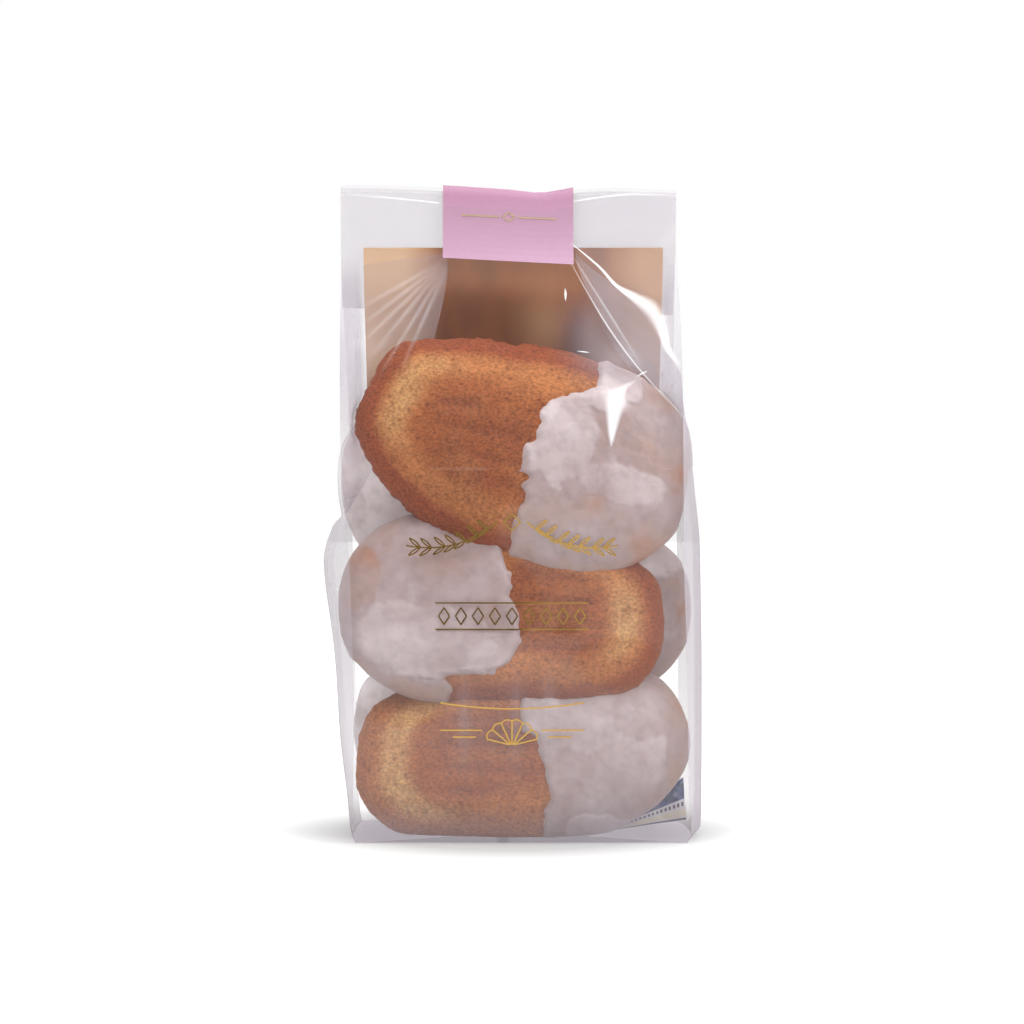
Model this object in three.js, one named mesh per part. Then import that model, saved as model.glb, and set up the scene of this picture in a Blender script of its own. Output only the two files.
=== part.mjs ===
// A clear gusseted bag of madeleine cakes, standing on its block bottom. The bag is one closed solid out to
// its skin: a full body, side gussets that tuck in above the cakes, a flat top, and a flap folded down
// behind. A paper label is wrapped over the fold and holds the flap shut.
// Millimetres. X runs to the right of the front panel, Y to the back and Z up. The origin is on the floor.
import * as THREE from "three";

// ---- Driving dimensions ------------------------------------------------------------------------------
const BAG_HEIGHT = 157.4; // floor to the fold along the top, at its mean
const FLAP_LENGTH = 30; // what is folded down behind
const TOP_HALF_THICKNESS = 0.8; // half of the flattened top, with all its layers
const LAYER_GAP = 0.3; // between layers that are pressed together
const HEM = 0.65; // half of the flattened top less half of the slit between the tucked gusset's halves

const LABEL_LEFT = -16.9;
const LABEL_RIGHT = 15;
const LABEL_THICKNESS = 0.3;
const LABEL_FRONT_FOOT = 139.6; // height of its front end
const LABEL_BACK_FOOT = 119; // height of its back end, below the flap's edge
const LABEL_TILT = -0.055; // rise of its ends for each millimetre to the right
const LABEL_STEP_DOWN = 4; // height over which it comes down from the flap's edge to the bag's back
const LABEL_GAP = 0.4; // between the label and the bag

// ---- How the bag's measures change with height: pairs of height and value ----------------------------
const FRONT_LEFT_EDGE = [[0, -37.2], [3, -37.6], [32, -37.4], [60, -38.2], [95, -40.6], [158, -42]];
const FRONT_RIGHT_EDGE = [[0, 41.6], [3, 42.4], [15, 41.8], [44, 41.3], [67, 40.6], [112, 40.4], [158, 40.2]];
const BACK_LEFT_EDGE = [[0, -38], [3, -38.6], [60, -40.2], [95, -41], [158, -42]];
const BACK_RIGHT_EDGE = [[0, 41.6], [3, 42.2], [60, 42], [112, 40.8], [143, 40.2], [158, 40.2]];
// How far each gusset's middle fold is tucked in from the edges. Below nought it bulges out past them.
const LEFT_TUCK = [[0, -1], [26, -3.6], [46, -5], [66, -6.8], [75, -4], [79, 0], [89, 6.5], [105, 14],
  [121, 22.5], [140, 26.4], [158, 27]];
const RIGHT_TUCK = [[0, -2], [3, -3.4], [22, -4.4], [67, -4.7], [86, -3.6], [100, -1.6], [107, -1], [113, 0],
  [118, 2.4], [124, 4.5], [128, 9.5], [133, 15.6], [144, 24.8], [158, 25.2]];
const WING_SWELL = 0.35; // roundness of each half of a gusset that bulges, as a share of its bulge
// How far each edge stands from the bag's middle plane, in front and behind.
const LEFT_DEPTH = [[0, 21.6], [3, 22.6], [20, 23.2], [84, 23], [100, 20], [121, 11], [140, 1.2], [148, 0.8]];
const RIGHT_DEPTH = [[0, 21.6], [3, 22.6], [20, 23.2], [100, 23], [113, 20], [128, 11.6], [143, 1.8],
  [150, 0.8]];
// How far the panels' middles bulge past a straight line between their edges.
const FRONT_BULGE = [[0, 1.4], [3, 2], [25, 3.1], [60, 2.8], [100, 3], [122, 2], [138, 0.3], [146, 0],
  [158, 0]];
const BACK_BULGE = [[0, 1.4], [3, 2], [60, 3.1], [100, 2.4], [122, 1], [138, 0.2], [146, 0], [158, 0]];
// Rise of the folded top above its mean, from left to right: pairs of X and value.
const TOP_RISE = [[-42, 1.3], [-28, 1], [-15, 0.4], [0, -0.6], [6.6, -1.3], [16, 0.1], [24, 0.5], [40, 0]];
const RISE_BEGINS = 128; // height above which the top's rise comes in

// ---- Mesh density ------------------------------------------------------------------------------------
const PANEL_STEPS = 20;
const WING_STEPS = 6;
const LABEL_STEPS = 10;
const BODY_HEIGHTS = [0, 1, 3, 8, 15, 23, 31, 39, 47, 55, 62, 69, 76, 82, 88, 93, 98, 103, 107, 110, 113,
  117, 121, 125, 129, 133, 136, 139, 142, 145, 148, 152, 155];
const FOLD_TURNS = 6;
const FLAP_STEPS = 8;

// A smooth curve through pairs of place and value that never overshoots them.
function along(pairs, at) {
  const last = pairs.length - 1;
  if (at <= pairs[0][0]) return pairs[0][1];
  if (at >= pairs[last][0]) return pairs[last][1];
  const slope = (i) => (pairs[i + 1][1] - pairs[i][1]) / (pairs[i + 1][0] - pairs[i][0]);
  const tangent = (i) => {
    if (i === 0 || i === last) return 0;
    const before = slope(i - 1);
    const after = slope(i);
    return before * after <= 0 ? 0 : (2 * before * after) / (before + after);
  };
  const i = pairs.findIndex((pair) => pair[0] > at) - 1;
  const width = pairs[i + 1][0] - pairs[i][0];
  const t = (at - pairs[i][0]) / width;
  const blend = t * t * (3 - 2 * t);
  return (
    pairs[i][1] * (1 - blend) +
    pairs[i + 1][1] * blend +
    width * (t * (1 - t) * (1 - t) * tangent(i) - t * t * (1 - t) * tangent(i + 1))
  );
}

const edgeDepth = (share, z) => THREE.MathUtils.lerp(along(LEFT_DEPTH, z), along(RIGHT_DEPTH, z), share);

// How far a panel stands from the middle plane, at a share of its width from the left.
function panelDepth(share, z, bulge) {
  return edgeDepth(share, z) + along(bulge, z) * (1 - (2 * share - 1) ** 4);
}

const rise = (x, z) => along(TOP_RISE, x) * THREE.MathUtils.smoothstep(z, RISE_BEGINS, BAG_HEIGHT);

// The bag's outline at one height, anticlockwise seen from above, as points in X and Y.
function outlineAt(z) {
  const points = [];
  const panel = (from, to, bulge, side) => {
    for (let i = 0; i <= PANEL_STEPS; i++) {
      const t = i / PANEL_STEPS;
      const share = side < 0 ? t : 1 - t;
      const x = THREE.MathUtils.lerp(from, to, t);
      points.push(new THREE.Vector2(x, side * panelDepth(share, z, bulge)));
    }
  };
  const gusset = (first, second, tuck, outward, share) => {
    const depth = edgeDepth(share, z) - HEM;
    const fold = (first + second) / 2 - outward * tuck;
    const swell = Math.max(0, -tuck) * WING_SWELL;
    for (let i = 0; i <= 2 * WING_STEPS; i++) {
      const t = i / WING_STEPS - 1;
      const away = Math.abs(t);
      const flat = THREE.MathUtils.lerp(fold, t < 0 ? first : second, away);
      points.push(new THREE.Vector2(flat + outward * swell * 4 * away * (1 - away), outward * t * depth));
    }
  };
  const frontLeft = along(FRONT_LEFT_EDGE, z);
  const frontRight = along(FRONT_RIGHT_EDGE, z);
  const backLeft = along(BACK_LEFT_EDGE, z);
  const backRight = along(BACK_RIGHT_EDGE, z);
  panel(frontLeft, frontRight, FRONT_BULGE, -1);
  gusset(frontRight, backRight, along(RIGHT_TUCK, z), 1, 1);
  panel(backRight, backLeft, BACK_BULGE, 1);
  gusset(backLeft, frontLeft, along(LEFT_TUCK, z), -1, 0);
  return points;
}

// A closed solid through rings of points, each ring with as many points. flat gives a ring's points as an
// outline in two dimensions, by which its end is filled.
function loft(rings, flat) {
  const count = rings[0].length;
  const position = rings.flat().flatMap((p) => [p.x, p.y, p.z]);
  const index = [];
  for (let r = 0; r + 1 < rings.length; r++)
    for (let i = 0; i < count; i++) {
      const next = (i + 1) % count;
      const below = r * count;
      const above = below + count;
      index.push(below + i, below + next, above + next, below + i, above + next, above + i);
    }
  const fill = (ring, turned) => {
    const outline = flat(rings[ring]);
    for (const [a, b, c] of THREE.ShapeUtils.triangulateShape(outline, []))
      index.push(...(turned ? [c, b, a] : [a, b, c]).map((i) => ring * count + i));
  };
  fill(0, true);
  fill(rings.length - 1, false);
  const geometry = new THREE.BufferGeometry();
  geometry.setAttribute("position", new THREE.Float32BufferAttribute(position, 3));
  geometry.setIndex(index);
  return geometry;
}

// ---- The bag -----------------------------------------------------------------------------------------
const FOLD_AXIS = TOP_HALF_THICKNESS + LAYER_GAP / 2; // how far behind the middle plane the top folds over
const FOLD_START = BAG_HEIGHT - FOLD_AXIS - TOP_HALF_THICKNESS; // height at which the fold begins to turn
const FLAP_FOOT = BAG_HEIGHT - FLAP_LENGTH;
const FLAP_THICKNESS = 2 * TOP_HALF_THICKNESS + LAYER_GAP;

// How far the front or back skin stands from the middle plane at a real height, with the rise taken off.
function skinDepth(x, height, leftEdge, rightEdge, bulge) {
  let z = height;
  for (let i = 0; i < 3; i++) z = height - rise(x, z);
  const left = along(leftEdge, z);
  return panelDepth((x - left) / (along(rightEdge, z) - left), z, bulge);
}
const frontDepth = (x, height) => skinDepth(x, height, FRONT_LEFT_EDGE, FRONT_RIGHT_EDGE, FRONT_BULGE);
const backDepth = (x, height) => skinDepth(x, height, BACK_LEFT_EDGE, BACK_RIGHT_EDGE, BACK_BULGE);

function bagGeometry() {
  const rings = BODY_HEIGHTS.map((z) =>
    outlineAt(z).map((p) => new THREE.Vector3(p.x, p.y, z + rise(p.x, z))),
  );
  const top = outlineAt(BAG_HEIGHT);
  for (let i = 1; i <= FOLD_TURNS; i++) {
    const angle = (Math.PI * i) / FOLD_TURNS;
    const turned = (p) => {
      const arm = FOLD_AXIS - p.y;
      const z = FOLD_START + arm * Math.sin(angle) + rise(p.x, BAG_HEIGHT);
      return new THREE.Vector3(p.x, FOLD_AXIS - arm * Math.cos(angle), z);
    };
    rings.push(top.map(turned));
  }
  for (let i = 1; i <= FLAP_STEPS; i++) {
    const hanging = (p) => {
      const z = THREE.MathUtils.lerp(FOLD_START, FLAP_FOOT, i / FLAP_STEPS) + rise(p.x, BAG_HEIGHT);
      return new THREE.Vector3(p.x, 2 * FOLD_AXIS - p.y + backDepth(p.x, z) - TOP_HALF_THICKNESS, z);
    };
    rings.push(top.map(hanging));
  }
  const flat = (ring) => (ring === rings[0] ? ring.map((p) => new THREE.Vector2(p.x, p.y)) : top);
  return loft(rings, flat);
}

// ---- The label ---------------------------------------------------------------------------------------
function labelGeometry() {
  // One side of the label at a place across it, from its front foot over the fold to its back foot.
  const side = (x, off) => {
    const points = [];
    const lift = rise(x, BAG_HEIGHT);
    const tilt = LABEL_TILT * (x - (LABEL_LEFT + LABEL_RIGHT) / 2);
    const leg = (from, to, steps, depth) => {
      for (let i = 0; i < steps; i++) {
        const z = THREE.MathUtils.lerp(from, to, i / steps);
        points.push(new THREE.Vector3(x, depth(z), z));
      }
    };
    leg(LABEL_FRONT_FOOT + tilt, FOLD_START + lift, LABEL_STEPS, (z) => -frontDepth(x, z) - off);
    const reach = FOLD_AXIS + TOP_HALF_THICKNESS + off;
    for (let i = 0; i < 2 * FOLD_TURNS; i++) {
      const angle = (Math.PI * i) / (2 * FOLD_TURNS);
      const z = FOLD_START + lift + reach * Math.sin(angle);
      points.push(new THREE.Vector3(x, FOLD_AXIS - reach * Math.cos(angle), z));
    }
    const foot = FLAP_FOOT + lift;
    const stepped = (z) => THREE.MathUtils.smoothstep(z, foot - LABEL_STEP_DOWN, foot - LAYER_GAP);
    const onFlap = (z) => FLAP_THICKNESS * stepped(z);
    const behind = (z) => backDepth(x, z) + onFlap(z) + off;
    leg(FOLD_START + lift, LABEL_BACK_FOOT + tilt, 2 * LABEL_STEPS, behind);
    points.push(new THREE.Vector3(x, behind(LABEL_BACK_FOOT + tilt), LABEL_BACK_FOOT + tilt));
    return points;
  };
  const rings = [];
  for (let i = 0; i <= LABEL_STEPS; i++) {
    const x = THREE.MathUtils.lerp(LABEL_RIGHT, LABEL_LEFT, i / LABEL_STEPS);
    rings.push([...side(x, LABEL_GAP + LABEL_THICKNESS), ...side(x, LABEL_GAP).reverse()]);
  }
  return loft(rings, (ring) => ring.map((p) => new THREE.Vector2(-p.y, p.z)));
}

// ---- The pieces --------------------------------------------------------------------------------------
function piece(name, geometry, colour, roughness, more = {}) {
  geometry.computeVertexNormals();
  const finish = new THREE.MeshStandardMaterial({ color: colour, roughness, metalness: 0, ...more });
  const mesh = new THREE.Mesh(geometry, finish);
  mesh.name = name;
  return mesh;
}

const pack = new THREE.Group();
pack.add(piece("bag", bagGeometry(), "#d8d3d7", 0.12, { transparent: true, opacity: 0.35 }));
pack.add(piece("seal_label", labelGeometry(), "#d9b0ca", 0.5));

export default pack;
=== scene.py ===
"""A clear gusseted bag of iced madeleine cakes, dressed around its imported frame.

Sizes are in millimetres and turned to metres where a mesh is made. X runs to the right of the bag's
front panel, Y to its back and Z up, with the origin on the floor under the bag.
"""

import logging
import math
from dataclasses import dataclass
from enum import Enum
from functools import partial
from typing import Any, Callable, Sequence

import bmesh
import bpy
import numpy as np
from mathutils import Matrix, Vector, noise
from mathutils.bvhtree import BVHTree

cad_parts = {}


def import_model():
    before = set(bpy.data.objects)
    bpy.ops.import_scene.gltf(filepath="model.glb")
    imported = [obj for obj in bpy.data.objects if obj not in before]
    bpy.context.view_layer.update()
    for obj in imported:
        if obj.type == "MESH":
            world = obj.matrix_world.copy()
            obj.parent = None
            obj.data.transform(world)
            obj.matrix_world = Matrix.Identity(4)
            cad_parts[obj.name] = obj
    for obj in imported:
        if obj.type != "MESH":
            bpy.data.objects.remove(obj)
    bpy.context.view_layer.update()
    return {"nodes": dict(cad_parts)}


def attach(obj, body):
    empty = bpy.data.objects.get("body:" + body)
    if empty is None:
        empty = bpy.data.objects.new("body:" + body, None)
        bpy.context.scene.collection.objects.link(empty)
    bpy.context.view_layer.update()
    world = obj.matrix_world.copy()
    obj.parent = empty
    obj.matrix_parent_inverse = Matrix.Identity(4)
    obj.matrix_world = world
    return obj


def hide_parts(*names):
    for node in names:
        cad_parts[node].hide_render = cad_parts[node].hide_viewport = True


LOG = logging.getLogger("madeleine_bag")
MM = 0.001
BODY = "root"
WHITE = (1, 1, 1, 1)
NOWHERE = 99.0
Piece = bpy.types.Object
Material = bpy.types.Material
Array = np.ndarray
Marks = tuple[tuple[float, ...], ...]


# ---- Small tools ----


class Side(Enum):
    """An end of a cake or a side of the bag, with its sign along X."""

    LEFT = -1.0
    RIGHT = 1.0


class Profile:
    """A smooth curve through pairs of place and value that never overshoots them."""

    def __init__(self, *pairs: tuple[float, float]) -> None:
        """Stores the pairs and works out the slope at each.

        Args:
            pairs: places in rising order, each with its value.
        """
        self.places, self.values = np.array(pairs, float).T
        slope = np.diff(self.values) / np.diff(self.places)
        before, after = slope[:-1], slope[1:]
        joint = before * after > 0
        middle = np.zeros(len(before))
        middle[joint] = 2 * before[joint] * after[joint] / (before[joint] + after[joint])
        self.slopes = np.concatenate([[0.0], middle, [0.0]])

    def __call__(self, at: Any) -> Array:
        """Reads the curve.

        Args:
            at: one place or many; past the ends the end values hold.

        Returns:
            The value at each place.
        """
        at = np.clip(np.asarray(at, float), self.places[0], self.places[-1])
        i = np.clip(np.searchsorted(self.places, at, side="right") - 1, 0, len(self.places) - 2)
        width = self.places[i + 1] - self.places[i]
        t = (at - self.places[i]) / width
        blend = t * t * (3 - 2 * t)
        bend = t * (1 - t) * ((1 - t) * self.slopes[i] - t * self.slopes[i + 1])
        return self.values[i] * (1 - blend) + self.values[i + 1] * blend + width * bend


def smooth_step(value: Any, low: float, high: float) -> Array:
    """Returns 0 below low and 1 above high, with a smooth rise between."""
    t = np.clip((np.asarray(value, float) - low) / (high - low), 0, 1)
    return t * t * (3 - 2 * t)


def hump(value: Any, centre: float, width: float) -> Array:
    """Returns a smooth bump of height 1 at the centre that falls to about a third at the width."""
    return np.exp(-(((np.asarray(value, float) - centre) / width) ** 2))


def blob(x: Array, z: Array, at_x: float, at_z: float, width: float, height: float) -> Array:
    """Returns a smooth round bump of height 1, from its middle and its half width and height."""
    return hump(x, at_x, width) * hump(z, at_z, height)


def blobs(x: Array, z: Array, marks: Marks) -> Any:
    """Adds up round bumps, each given as its middle, its half width and height, and its strength."""
    return sum(strength * blob(x, z, *mark) for *mark, strength in marks)


def rough(points: Array, size: float, octaves: int, seed: float) -> Array:
    """Reads smooth noise.

    Args:
        points: places in millimetres, one in each row.
        size: the width of the largest lumps.
        octaves: how many finer layers are added.
        seed: moves the pattern, so that each piece has its own.

    Returns:
        One number for each point, mostly between -1 and 1.
    """
    shift = Vector((seed * 17.3, seed * 5.1, seed * 29.7))
    return np.array([noise.fractal(Vector(p) / size + shift, 0.9, 2.0, octaves) for p in points])


def linear(hex_colour: str) -> tuple[float, float, float, float]:
    """Turns an sRGB hex colour, such as "#d8a050", into linear red, green, blue and alpha."""
    parts = [int(hex_colour[i : i + 2], 16) / 255 for i in (1, 3, 5)]
    return (*(p / 12.92 if p <= 0.04045 else ((p + 0.055) / 1.055) ** 2.4 for p in parts), 1.0)


# ---- Mesh tools ----


def start_piece(name: str) -> Piece:
    """Names the object that an operator has just added.

    Args:
        name: the new piece's name.

    Returns:
        The piece.
    """
    piece = bpy.context.object
    piece.name = piece.data.name = name
    return piece


def choose(*pieces: Piece) -> None:
    """Selects pieces alone and makes the first one active.

    Args:
        pieces: the pieces; without any, nothing stays selected.
    """
    bpy.ops.object.select_all(action="DESELECT")
    for piece in pieces:
        piece.select_set(True)
    if pieces:
        bpy.context.view_layer.objects.active = pieces[0]


def join(pieces: Sequence[Piece], name: str) -> Piece:
    """Joins pieces into one.

    Args:
        pieces: the pieces.
        name: the name of the whole.

    Returns:
        The whole.
    """
    choose(*pieces)
    bpy.ops.object.join()
    return start_piece(name)


def places(piece: Piece) -> Array:
    """Reads the places of a mesh's vertices.

    Args:
        piece: the piece.

    Returns:
        The places in metres, one in each row.
    """
    flat = np.zeros(len(piece.data.vertices) * 3)
    piece.data.vertices.foreach_get("co", flat)
    return flat.reshape(-1, 3)


def move_to(piece: Piece, points: Array) -> None:
    """Puts a mesh's vertices at points given in millimetres."""
    piece.data.vertices.foreach_set("co", (points * MM).ravel())
    piece.data.update()


def paint(piece: Piece, name: str, values: Array) -> None:
    """Keeps one number for each vertex in a named attribute, for the piece's material."""
    layer = piece.data.attributes.new(name, "FLOAT", "POINT")
    layer.data.foreach_set("value", np.asarray(values, np.float32))


def lattice(name: str, across: int, along: int) -> tuple[Piece, Array, Array]:
    """Adds a flat grid and tells where each vertex lies in it.

    Args:
        name: the new piece's name.
        across: faces along its first direction.
        along: faces along its second direction.

    Returns:
        The piece, and each vertex's column and row.
    """
    choose()
    bpy.ops.mesh.primitive_grid_add(x_subdivisions=across, y_subdivisions=along, size=2)
    piece = start_piece(name)
    spots = places(piece)
    column = np.rint((spots[:, 0] + 1) / 2 * across).astype(int)
    row = np.rint((spots[:, 1] + 1) / 2 * along).astype(int)
    return piece, column, row


def ball(name: str, cuts: int) -> tuple[Piece, Array]:
    """Adds an evenly divided ball, which starts as a cube so that it has no poles.

    Args:
        name: the new piece's name.
        cuts: cuts along each of the cube's edges.

    Returns:
        The piece, and each vertex's direction from its middle.
    """
    choose()
    bpy.ops.mesh.primitive_cube_add(size=2)
    piece = start_piece(name)
    bpy.ops.object.mode_set(mode="EDIT")
    bpy.ops.mesh.select_all(action="SELECT")
    bpy.ops.mesh.subdivide(number_cuts=cuts)
    bpy.ops.object.mode_set(mode="OBJECT")
    spots = np.tan(places(piece) * (math.pi / 4))
    return piece, spots / np.linalg.norm(spots, axis=1, keepdims=True)


def ribbon(name: str, path: Array, half: Any, across: int, depth: Callable) -> tuple[Piece, Array, Array]:
    """Lays a flat ribbon on a surface, along a path.

    Args:
        name: the new piece's name.
        path: its middle line's points in X and Z.
        half: half its width, or one for each point as a column.
        across: faces across it.
        depth: gives its Y at places in X and Z.

    Returns:
        The ribbon, and each vertex's number along the path and place across it, from -1 to 1.
    """
    ahead = np.gradient(path, axis=0)
    ahead /= np.linalg.norm(ahead, axis=1, keepdims=True)
    side = np.column_stack([-ahead[:, 1], ahead[:, 0]]) * half
    piece, column, row = lattice(name, len(path) - 1, across)
    place = row / across * 2 - 1
    x, z = (path[column] + side[column] * place[:, None]).T
    move_to(piece, np.column_stack([x, depth(x, z), z]))
    return piece, column, place


def soften(piece: Piece, degrees: float) -> None:
    """Shades a piece smooth, apart from edges sharper than an angle."""
    choose(piece)
    bpy.ops.object.shade_smooth_by_angle(angle=math.radians(degrees))


def thicken(piece: Piece, thickness: float, offset: float) -> None:
    """Gives a sheet its wall.

    Args:
        piece: the sheet.
        thickness: the wall's thickness.
        offset: -1 to grow it inwards, 1 outwards and 0 both ways.
    """
    wall = piece.modifiers.new("wall", "SOLIDIFY")
    wall.thickness = thickness * MM
    wall.offset = offset
    choose(piece)
    bpy.ops.object.modifier_apply(modifier=wall.name)


def dress(piece: Piece, material: Material, in_bag: bool = True) -> None:
    """Dresses and reports a finished piece.

    Args:
        piece: the piece.
        material: its material.
        in_bag: whether it stands for the bag's solid.
    """
    piece.data.materials.clear()
    piece.data.materials.append(material)
    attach(piece, BODY)
    if in_bag:
        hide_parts("bag")
    LOG.info("%s: %d faces", piece.name, len(piece.data.polygons))


# ---- Finishes ----


USUAL_OUTPUT = {
    "Attribute": "Fac", "LayerWeight": "Facing", "LightPath": "Is Camera Ray", "Mix": 2,
    "TexCoord": "Object", "TexNoise": "Fac", "TexVoronoi": "Distance",
}


def add_node(
    tree: bpy.types.NodeTree, kind: str, inputs: dict | None = None, out: str | int = 0, **settings: Any
) -> Any:
    """Adds one node with its settings and links.

    Args:
        tree: the node tree.
        kind: the node's type name, after "ShaderNode".
        inputs: for each input, by name or number, a value, a hex colour or the output that feeds it.
        out: the output that is handed back, where it isn't the usual one.
        settings: the node's properties; stops are a ramp's places, each with a hex colour or a grey.

    Returns:
        That output, if the node has any.
    """
    node = tree.nodes.new("ShaderNode" + kind)
    if kind == "Mix":
        node.data_type = "RGBA"
    stops = settings.pop("stops", ())
    for place, _ in stops[2:]:
        node.color_ramp.elements.new(place)
    for mark, (place, colour) in zip(node.color_ramp.elements if stops else (), stops):
        mark.position = place
        mark.color = linear(colour) if isinstance(colour, str) else (colour, colour, colour, 1)
    for key, value in settings.items():
        setattr(node.color_ramp if key == "interpolation" else node, key, value)
    for key, value in (inputs or {}).items():
        if isinstance(value, bpy.types.NodeSocket):
            tree.links.new(value, node.inputs[key])
        else:
            node.inputs[key].default_value = linear(value) if isinstance(value, str) else value
    return node.outputs[out or USUAL_OUTPUT.get(kind, 0)] if node.outputs else None


def new_material(name: str) -> tuple[Material, Callable]:
    """Makes an empty material.

    Args:
        name: its name.

    Returns:
        The material, and add_node for its own tree.
    """
    material = bpy.data.materials.new(name)
    material.use_nodes = True
    material.node_tree.nodes.clear()
    return material, partial(add_node, material.node_tree)


def per_metre(size_mm: float) -> float:
    """Returns the texture scale that gives a pattern of that size, on coordinates in metres."""
    return 1 / (size_mm * MM)


@dataclass(frozen=True)
class ClearFilm:
    """Cast polypropylene film, glossy and slightly cloudy.

    Most light goes straight through. A thin haze, stronger on the creased gussets, greys what is
    behind, and a gloss that grows at grazing angles gives it its shine. The brightest lines along
    its folds are painted highlights, laid on as a piece of their own.
    """

    haze: str = "#c3bcc4"
    slant_gain: float = 1.3
    gloss_head_on: float = 0.042
    gloss_roughness: float = 0.07
    wrinkle_mm: float = 7.0

    def material(self) -> Material:
        """Builds the film's material.

        Returns:
            The material, which reads the attributes "haze", the share of light that each layer stops,
            "gloss", how far the film keeps its polish, and "painted_glow", a painted glow on the flat bottom.
        """
        material, add = new_material("cast_polypropylene_film")
        haze, gloss, painted_glow = (add("Attribute", attribute_name=n) for n in ("haze", "gloss", "painted_glow"))
        spot = add("Mapping", {"Vector": add("TexCoord"), "Scale": (1.0, 1.0, 0.3)})
        wave = add("TexNoise", {"Vector": spot, "Scale": per_metre(self.wrinkle_mm), "Detail": 1.0})
        bumped = add("Bump", {"Height": wave, "Strength": 0.22, "Distance": 0.3 * MM})
        # Painted light: the haze glows by the attribute painted_glow, which lights up the flat bottom.
        haze_and_painted_glow = {"Base Color": self.haze, "Emission Color": self.haze, "Emission Strength": painted_glow}
        cloudy = add("BsdfPrincipled", haze_and_painted_glow | {"Roughness": 0.5, "Specular IOR Level": 0.0})
        facing = add("LayerWeight", {"Blend": 0.5, "Normal": bumped})
        slant = add("Math", {0: facing, 1: 2.5}, operation="POWER")
        depth = add("Math", {0: slant, 1: self.slant_gain, 2: 1.0}, operation="MULTIPLY_ADD")
        cover = add("Math", {0: haze, 1: depth}, operation="MULTIPLY", use_clamp=True)
        body = add("MixShader", {0: cover, 1: add("BsdfTransparent", {"Color": WHITE}), 2: cloudy})
        steep = add("Math", {0: facing, 1: 5.0}, operation="POWER")
        ends = {1: 1 - self.gloss_head_on, 2: self.gloss_head_on}
        mirrored = add("Math", {0: steep} | ends, operation="MULTIPLY_ADD")
        share = add("Math", {0: mirrored, 1: gloss}, operation="MULTIPLY")
        shine = {"Color": WHITE, "Roughness": self.gloss_roughness, "Normal": bumped}
        whole = add("MixShader", {0: share, 1: body, 2: add("BsdfAnisotropic", shine)})
        add("OutputMaterial", {"Surface": whole})
        return material


@dataclass(frozen=True)
class BakedSponge:
    """Butter sponge browned in a shell tin: a fine open crumb, darker at the rim, with painted shade in its
    grooves and along dark streaks.

    The grain of the crumb gives it light and dark flecks under a millimetre wide, and scattered
    bubbles that burst in the oven leave soft brown specks.
    """

    crust: str = "#c87d46"
    deep: str = "#ac5e2f"
    golden: str = "#dba76c"
    rim: str = "#954524"
    # The colour of the painted shade in the rib grooves and the dark streaks.
    groove_shade: str = "#7f4027"
    speck: str = "#74381d"
    grain_mm: float = 0.62
    patch_mm: float = 3.6
    speck_mm: float = 2.3

    def material(self) -> Material:
        """Builds the sponge's material.

        Returns:
            The material, which reads the attributes "rim", "golden", "deep" and "groove_shade".
        """
        material, add = new_material("baked_butter_sponge")
        rim, golden, deep, groove_shade = (
            add("Attribute", attribute_name=name) for name in ("rim", "golden", "deep", "groove_shade")
        )
        spot = add("TexCoord")
        drawn = add("Mapping", {"Vector": spot, "Scale": (0.75, 1.0, 1.1)})
        fine = {"Vector": drawn, "Scale": per_metre(self.grain_mm), "Detail": 3.0, "Roughness": 0.7}
        broad = {"Vector": spot, "Scale": per_metre(self.patch_mm), "Detail": 4.0, "Roughness": 0.65}
        grain, patch = (add("TexNoise", noise_of) for noise_of in (fine, broad))
        bubbles = add("TexVoronoi", {"Vector": spot, "Scale": per_metre(self.speck_mm)})
        speck, broken, patchy, grainy = (
            add("ValToRGB", {"Fac": source}, stops=stops)
            for source, stops in (
                (bubbles, ((0.1, 1.0), (0.3, 0.0))), (patch, ((0.36, 0.55), (0.58, 1.0))),
                (patch, ((0.36, 0.86), (0.6, 1.0))), (grain, ((0.38, 0.58), (0.6, 1.0))),
            )
        )
        gold = add("Math", {0: golden, 1: broken}, operation="MULTIPLY")
        specked = add("Math", {0: speck, 1: 0.48}, operation="MULTIPLY")
        colour = self.crust
        for share, tint, how in (
            (deep, self.deep, "MIX"), (gold, self.golden, "MIX"), (1.0, patchy, "MULTIPLY"),
            (rim, self.rim, "MIX"), (groove_shade, self.groove_shade, "MIX"), (1.0, grainy, "MULTIPLY"),
            (specked, self.speck, "MIX"),
        ):
            colour = add("Mix", {0: share, 6: colour, 7: tint}, blend_type=how)
        relief = add("Math", {0: speck, 1: -0.5, 2: grain}, operation="MULTIPLY_ADD")
        bump = add("Bump", {"Height": relief, "Strength": 0.9, "Distance": 0.5 * MM})
        crumb = {"Base Color": colour, "Roughness": 0.72, "Specular IOR Level": 0.3, "Normal": bump}
        add("OutputMaterial", {"Surface": add("BsdfPrincipled", crumb)})
        return material


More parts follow.
